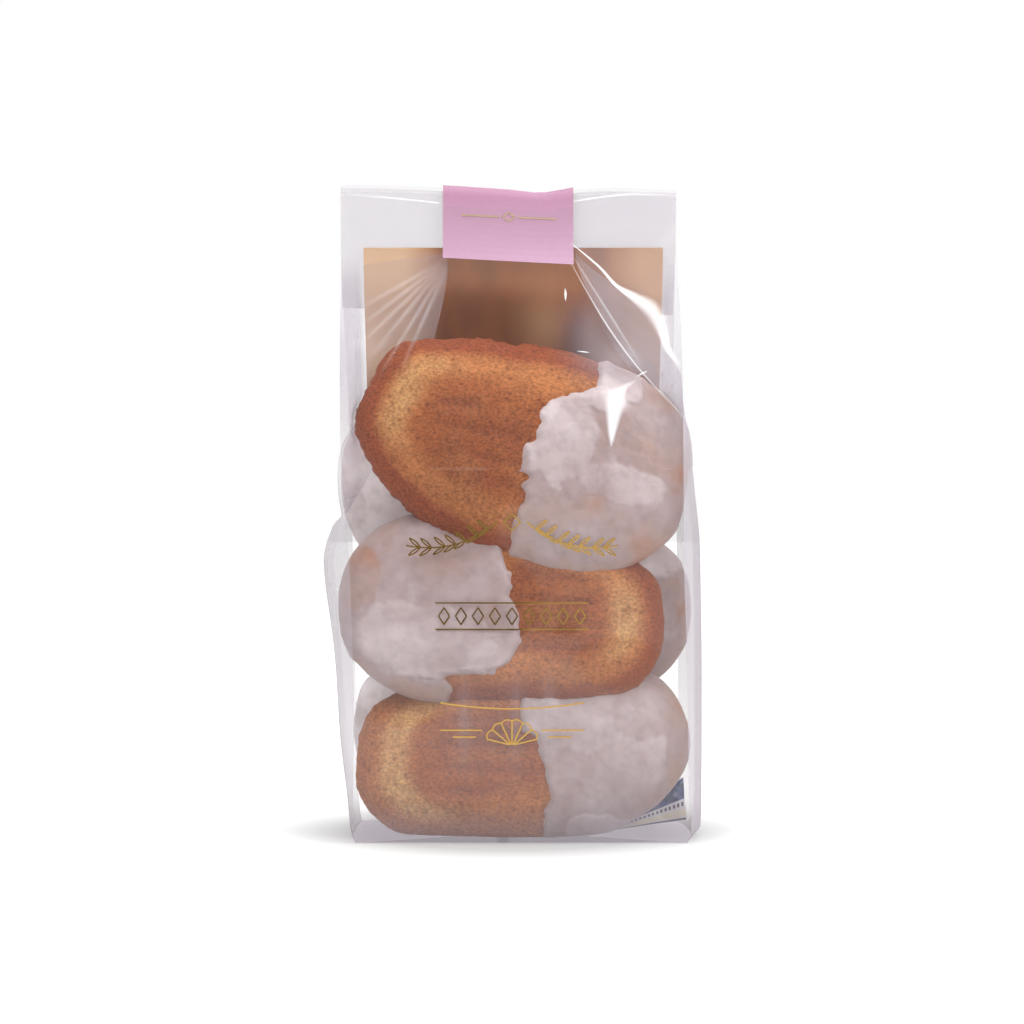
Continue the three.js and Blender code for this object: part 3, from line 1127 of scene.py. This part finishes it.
@dataclass
class Madeleine:
    """A shell-baked sponge cake that has been dipped in icing at one end."""

    name: str
    centre: tuple[float, float, float]
    turn: float
    lean: float
    outline: tuple[float, ...]
    icing_edge: Profile
    iced: Side
    seed: float
    front_rise: float = 11.0
    back_rise: float = 11.0
    cuts: int = 100
    fullness: float = 0.84
    rib_width: float = 6.2
    rib_depth: float = 0.4
    floor: float = 0.7
    icing_thickness: float = 0.8
    icing_body: float = 0.5
    # How much the icing darkens towards the cake's bottom: painted shade.
    icing_painted_shade: float = 0.0
    crumble: float = 0.36
    rim_browning: float = 1.0
    gold: float = 1.15
    gold_width: float = 3.0
    gold_above: float = -NOWHERE
    gold_below: float = NOWHERE
    gold_along_top: float = 0.0
    thick_patches: Marks = ()
    thin_patches: Marks = ()
    # Dark streaks, each as middle, half width and height, and strength: painted shade in the rib grooves,
    # between the cakes and on their lower faces.
    streaks: Marks = ()

    def radius(self, angle: Array) -> Array:
        """Reads the outline as a smooth closed curve.

        Args:
            angle: angles about the cake's middle.

        Returns:
            The radius at each.
        """
        count, ring = len(self.outline), np.array(self.outline)
        place = (angle / (2 * math.pi)) % 1 * count
        i = np.floor(place).astype(int)
        t = place - i
        a, b, c, d = (ring[(i + k) % count] for k in (-1, 0, 1, 2))
        return b + 0.5 * t * (c - a + t * (2 * a - 5 * b + 4 * c - d + t * (3 * (b - c) + d - a)))

    def icing_reach(self, u: Array, v: Array) -> Array:
        """Measures how far each point lies inside the icing's ragged edge.

        Args:
            u: places along the cake, to the right.
            v: places across it, upwards.

        Returns:
            Distances, below nought on the bare half.
        """
        step = 0.5
        slope = (self.icing_edge(v + step) - self.icing_edge(v - step)) / (2 * step)
        ragged = 0.9 * rough(np.column_stack([u, v, np.zeros(len(u))]), 3.2, 4, self.seed)
        return self.iced.value * (u - self.icing_edge(v)) / np.sqrt(1 + slope**2) + ragged

    def surface(self, ways: Array) -> dict[str, Array]:
        """Works out the cake's surface in its own frame.

        Args:
            ways: directions from the cake's middle, one in each row.

        Returns:
            Named arrays: "u", "y" and "v" are places, and the rest describe the surface there.
        """
        angle = np.arctan2(ways[:, 2], ways[:, 0])
        spread = np.hypot(ways[:, 0], ways[:, 2]) ** self.fullness
        rim_spots = np.column_stack([np.cos(angle), np.sin(angle), np.zeros(len(angle))]) * 30
        bite = self.crumble * rough(rim_spots, 1.9, 5, self.seed + 0.4)
        radius = self.radius(angle)
        bite *= smooth_step(-self.iced.value * np.cos(angle), -0.35, 0.15) * 0.85 + 0.15
        out = radius * spread + bite * spread**7
        u, v = out * np.cos(angle), out * np.sin(angle)
        rise = np.where(ways[:, 1] < 0, self.front_rise, self.back_rise)
        y = np.sign(ways[:, 1]) * rise * np.abs(ways[:, 1]) ** self.fullness
        inset = radius * (1 - spread)
        bare = -self.iced.value * u
        ribs = np.cos(2 * math.pi * v * (1 + 0.006 * bare) / self.rib_width)
        on_face = smooth_step(inset, 5.0, 11.0) * smooth_step(bare, -9, 3) * smooth_step(-bare, -27, -15)
        shell = (ways[:, 1] < 0) * on_face
        spots = np.column_stack([u, v, y])
        lumps = 0.35 * rough(spots, 14.0, 2, self.seed + 0.8) + 0.1 * rough(spots, 1.6, 3, self.seed)
        fitful = 0.5 + 0.8 * rough(spots * np.array([0.35, 1.0, 1.0]), 7.0, 2, self.seed + 3)
        y = y * (1 + (lumps + self.rib_depth * fitful * ribs * shell) / self.front_rise)
        # Painted shade: the sponge is darkened along the rib grooves.
        groove_shade = shell * fitful * smooth_step(-ribs, 0.1, 0.95)
        return {"u": u, "y": y, "v": v, "inset": inset, "bare": bare, "groove_shade": groove_shade, "spots": spots}

    def place(self, points: Array) -> Array:
        """Turns, leans and moves points from the cake's frame to the bag's, and rests them on its floor.

        Args:
            points: places in the cake's frame, as u, y and v.

        Returns:
            Places in the bag's frame.
        """
        turn = Matrix.Rotation(math.radians(-self.turn), 3, "Y")
        lean = Matrix.Rotation(math.radians(-self.lean), 3, "X")
        moved = points @ np.array(lean @ turn).T + np.array(self.centre)
        give = 1.5
        low = moved[:, 2] < self.floor + give
        moved[low, 2] = self.floor + give * np.exp((moved[low, 2] - self.floor - give) / give)
        return moved

    def build_sponge(self) -> Piece:
        """Builds the sponge, with its browning kept in attributes.

        Returns:
            The sponge.
        """
        sponge, ways = ball(f"{self.name}_sponge", self.cuts)
        skin = self.surface(ways)
        u, v, inset = skin["u"], skin["v"], skin["inset"]
        move_to(sponge, self.place(np.column_stack([u, skin["y"], v])))
        cloud = rough(skin["spots"], 7.0, 4, self.seed + 2)
        browned = hump(inset, 2.4, 3.0) + 0.35 * hump(inset, 0, 6) + 0.25 * cloud
        gold = hump(inset, 9.2, self.gold_width) * smooth_step(skin["bare"], 12, 27)
        gold *= smooth_step(v, self.gold_above, self.gold_above + 14)
        gold *= 1 - smooth_step(v, self.gold_below - 14, self.gold_below)
        gold = np.maximum(gold, self.gold_along_top * hump(inset, 7.6, 2.6) * smooth_step(v, 6, 15))
        paint(sponge, "rim", np.clip(browned * self.rim_browning, 0, 0.9))
        paint(sponge, "golden", np.clip(gold * self.gold + 0.28 * cloud, 0, 1))
        paint(sponge, "deep", np.clip(smooth_step(inset, 9, 17) + 0.3 * cloud, 0, 1))
        # Painted shade from the rib grooves and the streaks.
        paint(sponge, "groove_shade", np.clip(0.4 * skin["groove_shade"] + blobs(u, v, self.streaks), 0, 0.8))
        soften(sponge, 60)
        return sponge

    def build_icing(self) -> Piece:
        """Builds the icing as a thin coat that dips into the sponge along its ragged edge.

        Returns:
            The icing.
        """
        icing, ways = ball(f"{self.name}_icing", self.cuts)
        skin = self.surface(ways)
        reach = self.icing_reach(skin["u"], skin["v"])
        patch, worn = self.patches(skin, self.thick_patches), self.patches(skin, self.thin_patches)
        wave = rough(skin["spots"], 12.0, 3, self.seed + 7)
        lip = hump(reach, 1.2, 1.4)
        coat = self.icing_thickness * (0.75 + 0.35 * lip + 0.45 * patch + 0.25 * wave)
        lift = -0.5 + (coat + 0.5) * smooth_step(reach, -1.1, 0.7)
        points = np.column_stack([skin["u"], skin["y"], skin["v"]])
        outward = points / np.array([38.0, self.front_rise, 25.0]) ** 2
        outward /= np.maximum(np.linalg.norm(outward, axis=1, keepdims=True), 1e-6)
        move_to(icing, self.place(points + outward * lift[:, None]))
        thin_end = 0.2 * hump(skin["inset"], 0, 4.0)
        # Painted shade: the icing darkens towards the bottom of the cake.
        shaded_low = self.icing_painted_shade * smooth_step(-skin["v"], -6, 14)
        body = self.icing_body - shaded_low + 0.36 * patch - 0.4 * worn + 0.12 * lip + 0.3 * wave - thin_end
        paint(icing, "body", np.clip(body, 0, 1.5))
        self.trim(icing, reach)
        thicken(icing, 0.9, -1)
        soften(icing, 60)
        return icing

    def patches(self, skin: dict[str, Array], marks: Marks) -> Array:
        """Spreads rough-edged patches over the cake.

        Args:
            skin: the cake's surface.
            marks: for each patch its middle, its half width and height, and its strength.

        Returns:
            How strong the patches are at each point.
        """
        ragged = 0.14 * rough(skin["spots"], 4.0, 4, self.seed + 9)
        total = np.zeros(len(ragged))
        for *mark, strength in marks:
            near = blob(skin["u"], skin["v"], *mark) + ragged
            total = np.maximum(total, strength * smooth_step(near, 0.33, 0.43))
        return total

    @staticmethod
    def trim(icing: Piece, reach: Array) -> None:
        """Cuts away the part of the coat that lies over the bare half.

        Args:
            icing: the coat.
            reach: how far each vertex lies inside the icing's edge.
        """
        mesh = bmesh.new()
        mesh.from_mesh(icing.data)
        away = [vert for vert in mesh.verts if reach[vert.index] < -1.3]
        bmesh.ops.delete(mesh, geom=away, context="VERTS")
        mesh.to_mesh(icing.data)
        mesh.free()


TOP_OUTLINE = (39.8, 39.8, 38.4, 34.1, 30.2, 28.3, 27.6, 27.6, 30.2, 34.3, 40.6, 40.8,
               40.8, 36.2, 31.7, 28.3, 26.4, 25.7, 24.7, 26.9, 30.5, 33.8, 37.2, 40.3)
MIDDLE_OUTLINE = (37.7, 36.7, 31.7, 28.1, 25.9, 24.7, 24.5, 25.0, 27.4, 32.2, 37.2, 39.8,
                  39.9, 38.6, 34.0, 29.4, 25.0, 22.6, 21.8, 22.3, 24.5, 28.6, 34.8, 37.7)
BOTTOM_OUTLINE = (39.6, 40.1, 37.4, 30.0, 26.9, 25.2, 24.7, 25.2, 26.4, 29.3, 33.1, 38.4,
                  39.5, 39.6, 35.3, 27.8, 23.5, 21.6, 20.9, 21.4, 22.8, 25.4, 29.8, 35.4)
BACK_OUTLINE = (39.2, 38.8, 34.5, 29.4, 26.6, 25.6, 25.2, 25.4, 26.8, 30.2, 35.0, 38.6,
                39.4, 38.4, 33.6, 28.6, 25.2, 23.6, 23.0, 23.4, 25.4, 29.4, 35.0, 38.6)
BACK_TOP_OUTLINE = BACK_OUTLINE[:12] + (39.4, 39.8, 38.4, 32.6, 27.0, 24.2) + BACK_OUTLINE[18:]
BACK_LOW_OUTLINE = BACK_OUTLINE[:8] + (27.4, 32.6, 40.0, 40.0, 38.2) + BACK_OUTLINE[13:]


def front_cakes() -> list[Madeleine]:
    """Lists the three cakes that stand behind the front panel.

    Returns:
        The cakes, from the top one down.
    """
    return [
        Madeleine(
            "cake_front_top", (2.2, -13.0, 91.4), -12.0, 7.0, TOP_OUTLINE,
            Profile((-25, 1.7), (-22, 2.5), (-14.8, 1.7), (-10.8, 3.3), (-7.4, 2.1), (-5.6, 3.6), (-4.4, 1.0),
                    (0.9, 0.8), (3.8, 3.1), (9.9, 3.2), (14.4, 6.5), (17.3, 12), (19.3, 14.8), (25.7, 13.8)),
            Side.RIGHT, 1.0, crumble=0.6, icing_painted_shade=0.1,
            gold=0.9, gold_width=4.0, gold_above=-9.0, gold_below=26.0, gold_along_top=0.08,
            thick_patches=((8.5, 6, 8, 12, 0.8), (25, -2.5, 11, 4.5, 0.6), (17, 21, 8, 8, 0.9)),
            thin_patches=((37, 2, 1.5, 4, 0.45), (29, 4.5, 8, 4, 0.28)),
            streaks=((-16.5, 7.5, 4, 3, 0.32), (-10, -3, 16, 12, 0.2), (-6, 6.1, 8, 1.3, 0.36),
                     (1, 4, 9, 1.3, 0.25), (-3, 1.2, 8, 1.1, 0.2), (-9, -11, 11, 7, 0.12)),
        ),
        Madeleine(
            "cake_front_middle", (-1.2, -13.4, 53.9), -2.0, 8.0, MIDDLE_OUTLINE,
            Profile((-21, -13.5), (-18.7, -13), (-16.4, -14.5), (-14.6, -5), (-13, 0), (-11, 1.3),
                    (-8.5, 2.9), (-2.5, 3.2), (3.4, 0.1), (5.8, 1.0), (14.1, -2.2), (24, -5)),
            Side.LEFT, 2.0, rim_browning=0.7, gold=1.3, gold_above=-16.0, gold_below=13.0,
            thick_patches=((-20, -8, 19, 9, 0.6),), thin_patches=((-36, 7, 6, 8, 0.55),),
            streaks=((14, 3, 12, 1.4, 0.3), (12, -6, 12, 1.2, 0.3), (4.5, 9.5, 5, 4, 0.6),
                     (20, -11, 9, 5, 0.25)),
        ),
        Madeleine(
            "cake_front_bottom", (2.2, -12.2, 19.6), 0.0, 8.0, BOTTOM_OUTLINE,
            Profile((-20.2, 5), (-13.4, 6), (-9.8, 7.4), (-7.4, 6.5), (-3.8, 5.8), (1, 4.6), (4.1, 3.4),
                    (5.8, 1), (11.3, -0.2), (20, 0.5)),
            Side.RIGHT, 3.0, rim_browning=0.22, gold=1.7, gold_along_top=0.3,
            thick_patches=((14, 9, 12, 8, 0.5), (18, -17, 8, 3.2, 0.9)),
            thin_patches=((30, 10, 9, 7, 0.55), (38, 0, 4, 9, 0.4)),
            streaks=((-27, 13.4, 8, 3.6, 0.6), (-4, 6, 9, 1.2, 0.35), (-2, 2.6, 10, 1.1, 0.4),
                     (0, -4, 9, 1.1, 0.3)),
        ),
    ]


def back_cakes() -> list[Madeleine]:
    """Lists the three cakes that stand behind those.

    Returns:
        The cakes, from the top one down.
    """
    edge = Profile((-25, 2), (-9, -1.5), (-2, 1.2), (6, -0.8), (14, 1.6), (25, 0))
    # The top and bottom ones get a lighter icing body, and the middle one a light patch at its right end:
    # painted light that makes up for the dim light deep in the bag.
    return [
        Madeleine(
            "cake_back_top", (-2.6, 8.4, 89.0), 6.0, -2.0, BACK_TOP_OUTLINE, edge, Side.LEFT, 4.0,
            front_rise=9.5, back_rise=8.5, cuts=60, icing_body=1.25,
            thin_patches=((-33, 12, 7, 7, 0.5), (-37, -5, 3, 6, 0.5)),
        ),
        Madeleine(
            "cake_back_middle", (4.6, 9.6, 53.5), 2.0, 3.0, BACK_OUTLINE, edge, Side.RIGHT, 5.0,
            front_rise=10.0, back_rise=9.0, cuts=60, icing_body=0.55,
            thick_patches=((32, 13, 7, 6, 1.0),), thin_patches=((34, 1, 4, 7, 0.5), (36.5, 0, 1.8, 2.6, 0.7)),
        ),
        Madeleine(
            "cake_back_bottom", (0.4, 9.8, 18.9), 3.0, 2.0, BACK_LOW_OUTLINE, edge, Side.LEFT, 6.0,
            front_rise=10.0, back_rise=9.0, cuts=60, icing_body=1.4, thin_patches=((-36, 8, 6, 5, 0.35),),
        ),
    ]


# ---- Board, sachet, painted highlights and print ----


@dataclass
class BackingBoard:
    """The foil board that stands behind the cakes and bends forward with the bag to the folded top."""

    left: float = -36.4
    width: float = 73.4
    foot: float = 1.3
    top: float = 143.2
    thickness: float = 0.7
    across: int = 44
    rows: int = 80
    # Painted sheen on the foil, and one painted dark reflection, each as middle, half width and height, and
    # strength.
    painted_glints: Marks = ((8, 122, 6, 9, 0.75), (-14, 108, 7, 7, 0.4), (15.5, 122, 3, 6, -0.5))
    narrowed: Profile = Profile((0, 0.91), (42, 0.91), (54, 1.0), (144, 1.0))
    behind: Profile = Profile(
        (0, 21.8), (60, 22.4), (92, 21.6), (104, 18.4), (113, 13.8), (124, 7.9), (136, 1.9), (144, 0.1)
    )

    def build(self) -> Piece:
        """Builds the board, with its painted sheen kept in an attribute.

        Returns:
            The board.
        """
        board, column, row = lattice("backing_board", self.across, self.rows)
        z = self.foot + (self.top - self.foot) * row / self.rows
        middle = self.left + self.width / 2
        x = middle + self.width * (column / self.across - 0.5) * self.narrowed(z)
        move_to(board, np.column_stack([x, self.behind(z), z]))
        # Painted sheen: lighter towards both sides where the board bends forward, with the glints and an even
        # share on top.
        side = np.maximum(smooth_step(-x, 16, 30), 0.5 * smooth_step(x, 20, 33)) * smooth_step(z, 96, 122)
        paint(board, "glow", np.clip(side + blobs(x, z, self.painted_glints) + 0.15, 0, 1))
        thicken(board, self.thickness, 0)
        soften(board, 50)
        return board


@dataclass
class Sachet:
    """The small printed sachet that leans low at the right, its print fanned out from its left end."""

    corner: tuple[float, float, float] = (24.5, -7.4, 1.4)
    along: tuple[float, float, float] = (0.95, 0.2, 0.11)
    up: tuple[float, float, float] = (-0.06, 0.3, 0.95)
    length: float = 18.5
    height: float = 10.5
    puff: float = 0.8
    thickness: float = 0.6
    across: int = 50
    rows: int = 34

    def build(self) -> Piece:
        """Builds the sachet as a crimped pillow, whose print follows its height and length.

        Returns:
            The sachet.
        """
        sachet, column, row = lattice("sachet", self.across, self.rows)
        u, v = column / self.across, row / self.rows
        tall = self.height * v * (0.1 + 0.9 * u)
        swell = (np.sin(math.pi * u) * np.sin(math.pi * v)) ** 0.6
        spots = np.column_stack([u * self.length, tall, np.zeros(len(u))])
        crumple = 0.3 * rough(spots, 4.0, 3, 8.0) * (0.3 + u)
        along, up = Vector(self.along).normalized(), Vector(self.up).normalized()
        points = np.array(self.corner) + np.outer(u * self.length, along) + np.outer(tall, up)
        move_to(sachet, points + np.array(along.cross(up)) * (self.puff * swell + crumple)[:, None])
        paint(sachet, "length", u)
        paint(sachet, "height", v)
        thicken(sachet, self.thickness, -1)
        soften(sachet, 40)
        return sachet


@dataclass
class PaintedFilmHighlights:
    """Painted highlights on the front film, along its creases and over its bulges, each drawn through places
    in X and Z.

    Each place has the highlight's half width and its brightness there, and a fan of finer ones starts
    from one root, each with its slope in degrees and its length.
    """

    lift: float = 0.05
    across: int = 10
    fan_root: tuple[float, float] = (-14.5, 140.5)
    fan: Marks = ((30, 27), (38, 31), (45, 36), (52, 33), (60, 34), (67, 30))
    paths: tuple[Marks, ...] = (
        ((14.4, 143.7, 0.15, 0.8), (21.3, 137.6, 0.4, 1.0), (25.2, 133.1, 0.6, 1.0), (29.8, 130.0, 1.7, 0.65),
         (33.3, 127.4, 2.6, 0.58), (35.1, 124.4, 2.4, 0.55), (36.2, 121.0, 1.7, 0.75),
         (37.0, 117.8, 1.1, 0.85), (38.8, 114.6, 0.8, 0.6), (40.2, 112.9, 0.4, 0.2)),
        ((29.6, 109.7, 0.2, 0.3), (26.8, 108.0, 1.1, 0.45), (24.6, 105.2, 3.4, 0.6), (24.0, 101.0, 2.3, 0.85),
         (23.6, 97.0, 1.3, 0.85), (23.4, 93.9, 0.4, 0.4)),
        ((-41.0, 156.2, 0.3, 0.1), (-30.0, 155.3, 0.4, 0.3), (-17.5, 153.9, 0.3, 0.4)),
        ((14.8, 154.3, 0.3, 0.4), (30.0, 156.2, 0.45, 0.3), (41.0, 155.8, 0.3, 0.1)),
        ((12.8, 132.4, 0.15, 0.4), (12.9, 130.9, 0.4, 0.9), (12.9, 129.2, 0.15, 0.4)),
        ((14.3, 138.8, 0.2, 0.25), (22.0, 124.5, 0.32, 0.4), (29.5, 113.4, 0.32, 0.38),
         (40.8, 100.6, 0.2, 0.15)),
        ((14.4, 141.0, 0.3, 0.12), (24.0, 125.0, 0.45, 0.2), (31.0, 112.8, 0.3, 0.1)),
        ((29.4, 110.4, 0.15, 0.3), (31.2, 111.5, 0.3, 0.6), (32.4, 112.0, 0.15, 0.2)),
        ((15.4, 116.8, 0.1, 0.4), (17.2, 116.6, 0.22, 0.8), (18.6, 116.4, 0.1, 0.3)),
    )

    def fan_paths(self) -> list[Marks]:
        """Lays out the fan of fine painted highlights.

        Returns:
            Their paths.
        """
        x, z = self.fan_root
        paths = []
        for turn, far in self.fan:
            c, s = math.cos(math.radians(turn)), math.sin(math.radians(turn))
            stops = ((3, 0.03), (far / 2, 0.11), (far, 0.02))
            paths.append(tuple((x - r * c, z - r * s, 0.8, bright) for r, bright in stops))
        return paths

    def build(self, film: FilmBag) -> Piece:
        """Lays the painted highlights on the film's front as soft-edged ribbons.

        Args:
            film: the finished film, which they follow.

        Returns:
            The creases, joined, with their strength kept in an attribute.
        """
        creases, name = [], "painted_film_highlights"
        for path in [*self.paths, *self.fan_paths()]:
            marks = np.array(path)
            run = np.concatenate([[0], np.cumsum(np.hypot(*np.diff(marks[:, :2], axis=0).T))])
            steps = max(8, int(run[-1] / 0.5))
            curves = [Profile(*zip(run, marks[:, k])) for k in range(4)]
            x, z, half, bright = (curve(np.linspace(0, run[-1], steps + 1)) for curve in curves)
            line, width = np.column_stack([x, z]), half[:, None]
            crease, column, place = ribbon(
                name, line, width, self.across, lambda x, z: film.front_depth(x, z) - self.lift
            )
            ends = np.sin(math.pi * np.clip(column / steps, 0.02, 0.98)) ** 0.25
            # Painted highlight: whitest along each ribbon's middle.
            paint(crease, "white", bright[column] * (1 - place**2) ** 2 * ends * (np.abs(place) < 0.99))
            creases.append(crease)
        return join(creases, name)


@dataclass
class FoilOrnament:
    """The gold stamping on the film and the label: plain rules, leaves, lozenges and a small shell."""

    stroke: float = 0.34
    lift: float = 0.07
    thickness: float = 0.05
    label_face: float = 1.56

    def build(self, film: FilmBag) -> list[Piece]:
        """Stamps the film and the label.

        Args:
            film: the finished film, which the strokes follow.

        Returns:
            The stamping on the film, and that on the label.
        """
        on_film = self.stamp("foil_on_film", self.film_strokes(), film.front_depth)
        return [on_film, self.stamp("foil_on_label", self.label_strokes(), self.on_label)]

    def on_label(self, x: Array, z: Array) -> Array:
        """Returns how deep the label's front face lies."""
        return np.full(len(x), -self.label_face)

    @staticmethod
    def line(start: Sequence[float], end: Sequence[float], bow: float = 0.0) -> Array:
        """Draws a stroke.

        Args:
            start: its first place.
            end: its last place.
            bow: how far its middle is bowed sideways.

        Returns:
            Its points.
        """
        a, b = np.array(start), np.array(end)
        long = np.linalg.norm(b - a)
        t = np.linspace(0, 1, max(3, int(long / 0.6)))[:, None]
        side = np.array([-(b - a)[1], (b - a)[0]]) / long
        return a + (b - a) * t + side * bow * 4 * t * (1 - t)

    def film_strokes(self) -> list[Array]:
        """Draws the film's ornament: two sprigs, nine lozenges between rules, and a shell under a bow.

        Returns:
            The strokes' points in X and Z.
        """
        strokes = []
        for way in (-1, 1):
            stem = self.line((3.5 * way, 76.0), (25.0 * way, 70.5), 2.6 * -way)
            strokes.append(stem)
            for k in range(1, 8):
                foot = stem[k * (len(stem) - 1) // 8]
                for leaf in ((2.6 * way, 2.2), (2.8 * way, -1.9)):
                    strokes += [self.line(foot, foot + np.array(leaf), bow) for bow in (0.35, -0.35)]
            strokes += [self.line((a * way, z), (b * way, z)) for a, b, z in ((7, 17, 27.0), (8.5, 14, 25.4))]
        strokes += self.lozenge(0, 76.0, 2.0, 2.0)
        strokes += [self.line((-18, z), (18, z)) for z in (57.0, 50.8)]
        for k in range(-4, 5):
            strokes += self.lozenge(4.0 * k, 53.9, 1.3, 2.0)
        strokes.append(self.line((-17, 33.5), (17, 33.5), -1.4))
        angles = [math.radians(24 * k) for k in range(-3, 4)]
        tips = [(6.2 * math.sin(a), 23.0 + 6.2 * math.cos(a)) for a in angles]
        strokes += [self.line((0.6 * math.sin(a), 23.6), tip) for a, tip in zip(angles, tips)]
        strokes += [self.line(tip, after, 0.6) for tip, after in zip(tips, tips[1:])]
        return strokes

    def label_strokes(self) -> list[Array]:
        """Draws the label's ornament: a lozenge between two short rules."""
        rules = [self.line((-12.4, 151.0), (-3.2, 150.6)), self.line((1.6, 150.4), (10.8, 150.0))]
        return rules + self.lozenge(-0.8, 150.5, 1.5, 1.1)

    def lozenge(self, x: float, z: float, half_width: float, half_height: float) -> list[Array]:
        """Returns a lozenge's four sides."""
        tips = [(x + half_width, z), (x, z + half_height), (x - half_width, z), (x, z - half_height)]
        return [self.line(tips[k], tips[(k + 1) % 4]) for k in range(4)]

    def stamp(self, name: str, strokes: list[Array], depth: Callable) -> Piece:
        """Lays strokes on a surface as thin ribbons, and joins them.

        Args:
            name: the new piece's name.
            strokes: each stroke's points in X and Z.
            depth: gives the surface's Y at places in X and Z.

        Returns:
            The stamping.
        """
        half, laid = self.stroke / 2, lambda x, z: depth(x, z) - self.lift
        stamping = join([ribbon(name, path, half, 1, laid)[0] for path in strokes], name)
        thicken(stamping, self.thickness, 1)
        return stamping


# ---- Studio ----


@dataclass
class Studio:
    """A white floor and light all round, with two soft boxes in front and one overhead."""

    camera_place: tuple[float, float, float] = (0.0, -625.0, 78.4)
    lens: float = 89.65
    sensor: float = 36.0
    film_layers: int = 48
    glow_from: float = 34.0
    glow_to: float = 85.0

    def build(self) -> None:
        """Builds the floor, the lights, the world and the camera."""
        self.build_floor()
        self.build_world()
        for name, place, aim, size, watts, seen in (
            ("key_box", (560, -480, 540), (0, 0, 80), (240, 420), 3.7, True),
            ("side_box", (760, -160, 260), (0, 0, 80), (360, 560), 1.0, True),
            ("fill_box", (-440, -560, 600), (0, 0, 80), (420, 560), 3.6, False),
            ("top_box", (0, -140, 820), (0, 0, 60), (620, 420), 3.6, False),
        ):
            self.add_soft_box(name, place, aim, size, watts, seen)
        data = bpy.data.cameras.new("camera")
        data.lens, data.sensor_width, data.clip_start, data.clip_end = self.lens, self.sensor, 0.01, 20
        camera = bpy.data.objects.new("camera", data)
        camera.location = Vector(self.camera_place) * MM
        camera.rotation_euler = (math.pi / 2, 0, 0)
        scene = bpy.context.scene
        scene.collection.objects.link(camera)
        scene.camera = camera
        scene.view_settings.view_transform = "Standard"
        scene.cycles.transparent_max_bounces = self.film_layers

    def build_floor(self) -> None:
        """Builds the pale floor, which shines further out and is dimmer to all but the eye."""
        choose()
        bpy.ops.mesh.primitive_plane_add(size=12)
        floor = start_piece("studio_floor")
        material, add = new_material("white_studio_paper")
        away = add("VectorMath", {0: add("TexCoord")}, "Value", operation="LENGTH")
        far = add("MapRange", {0: away, 1: self.glow_from * MM, 2: self.glow_to * MM, 3: 0.03, 4: 1.0})
        dimmed = add("MapRange", {0: add("LightPath"), 3: 0.45, 4: 1.0})
        glow = add("Math", {0: far, 1: dimmed}, operation="MULTIPLY")
        paper = {"Base Color": (0.5, 0.5, 0.5, 1), "Roughness": 0.9, "Specular IOR Level": 0.0}
        light = {"Emission Color": WHITE, "Emission Strength": glow}
        add("OutputMaterial", {"Surface": add("BsdfPrincipled", paper | light)})
        floor.data.materials.append(material)

    @staticmethod
    def build_world() -> None:
        """Lights the studio's air: bright behind the bag, dimmer on the side it is seen from."""
        world = bpy.data.worlds.new("studio_air")
        bpy.context.scene.world = world
        world.use_nodes = True
        world.node_tree.nodes.clear()
        add = partial(add_node, world.node_tree)
        depth = add("SeparateXYZ", {0: add("TexCoord")}, 1)
        behind = add("MapRange", {0: depth, 1: -0.5, 2: 0.5, 3: 0.14, 4: 0.95})
        air, white = (add("Background", {"Color": WHITE, "Strength": power}) for power in (behind, 1.0))
        both = add("MixShader", {0: add("LightPath"), 1: air, 2: white})
        add("OutputWorld", {"Surface": both})

    @staticmethod
    def add_soft_box(
        name: str, place: Sequence[float], aim: Sequence[float], size: Sequence[float], watts: float,
        seen: bool,
    ) -> None:
        """Hangs a soft box.

        Args:
            name: its name.
            place: where it hangs.
            aim: what it faces.
            size: its width and height.
            watts: its power.
            seen: whether gloss mirrors it.
        """
        data = bpy.data.lights.new(name, "AREA")
        data.shape = "RECTANGLE"
        data.size, data.size_y, data.energy = size[0] * MM, size[1] * MM, watts
        light = bpy.data.objects.new(name, data)
        light.location = Vector(place) * MM
        light.rotation_euler = (Vector(aim) - Vector(place)).to_track_quat("-Z", "Y").to_euler()
        light.visible_camera, light.visible_glossy = False, seen
        bpy.context.scene.collection.objects.link(light)


def main() -> None:
    """Builds the studio and the bag, with all that it holds."""
    logging.basicConfig(level=logging.INFO, format="%(name)s: %(message)s")
    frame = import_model()
    Studio().build()
    sponge, icing = BakedSponge().material(), SugarIcing().material()
    held = []
    for cake in front_cakes() + back_cakes():
        held += [cake.build_sponge(), cake.build_icing()]
        dress(held[-2], sponge)
        dress(held[-1], icing)
    held += [BackingBoard().build(), Sachet().build()]
    dress(held[-2], CopperBoard().material())
    dress(held[-1], SachetFilm().material())
    bag = FilmBag()
    dress(bag.build(held), ClearFilm().material())
    dress(PaintedFilmHighlights().build(bag), PaintedHighlightFilm().material())
    on_film, on_label = FoilOrnament().build(bag)
    dress(on_film, StampedFoil().material())
    # The label's foil is rougher and a much paler gold; the paler gold is painted light.
    dulled_lightened_foil = StampedFoil("gold_foil_on_paper", "#f0d8ae", roughness=0.6).material()
    dress(on_label, dulled_lightened_foil, False)
    label = frame["nodes"]["seal_label"]
    label.data.materials.clear()
    label.data.materials.append(LabelPaper().material())


if __name__ == "__main__":
    main()
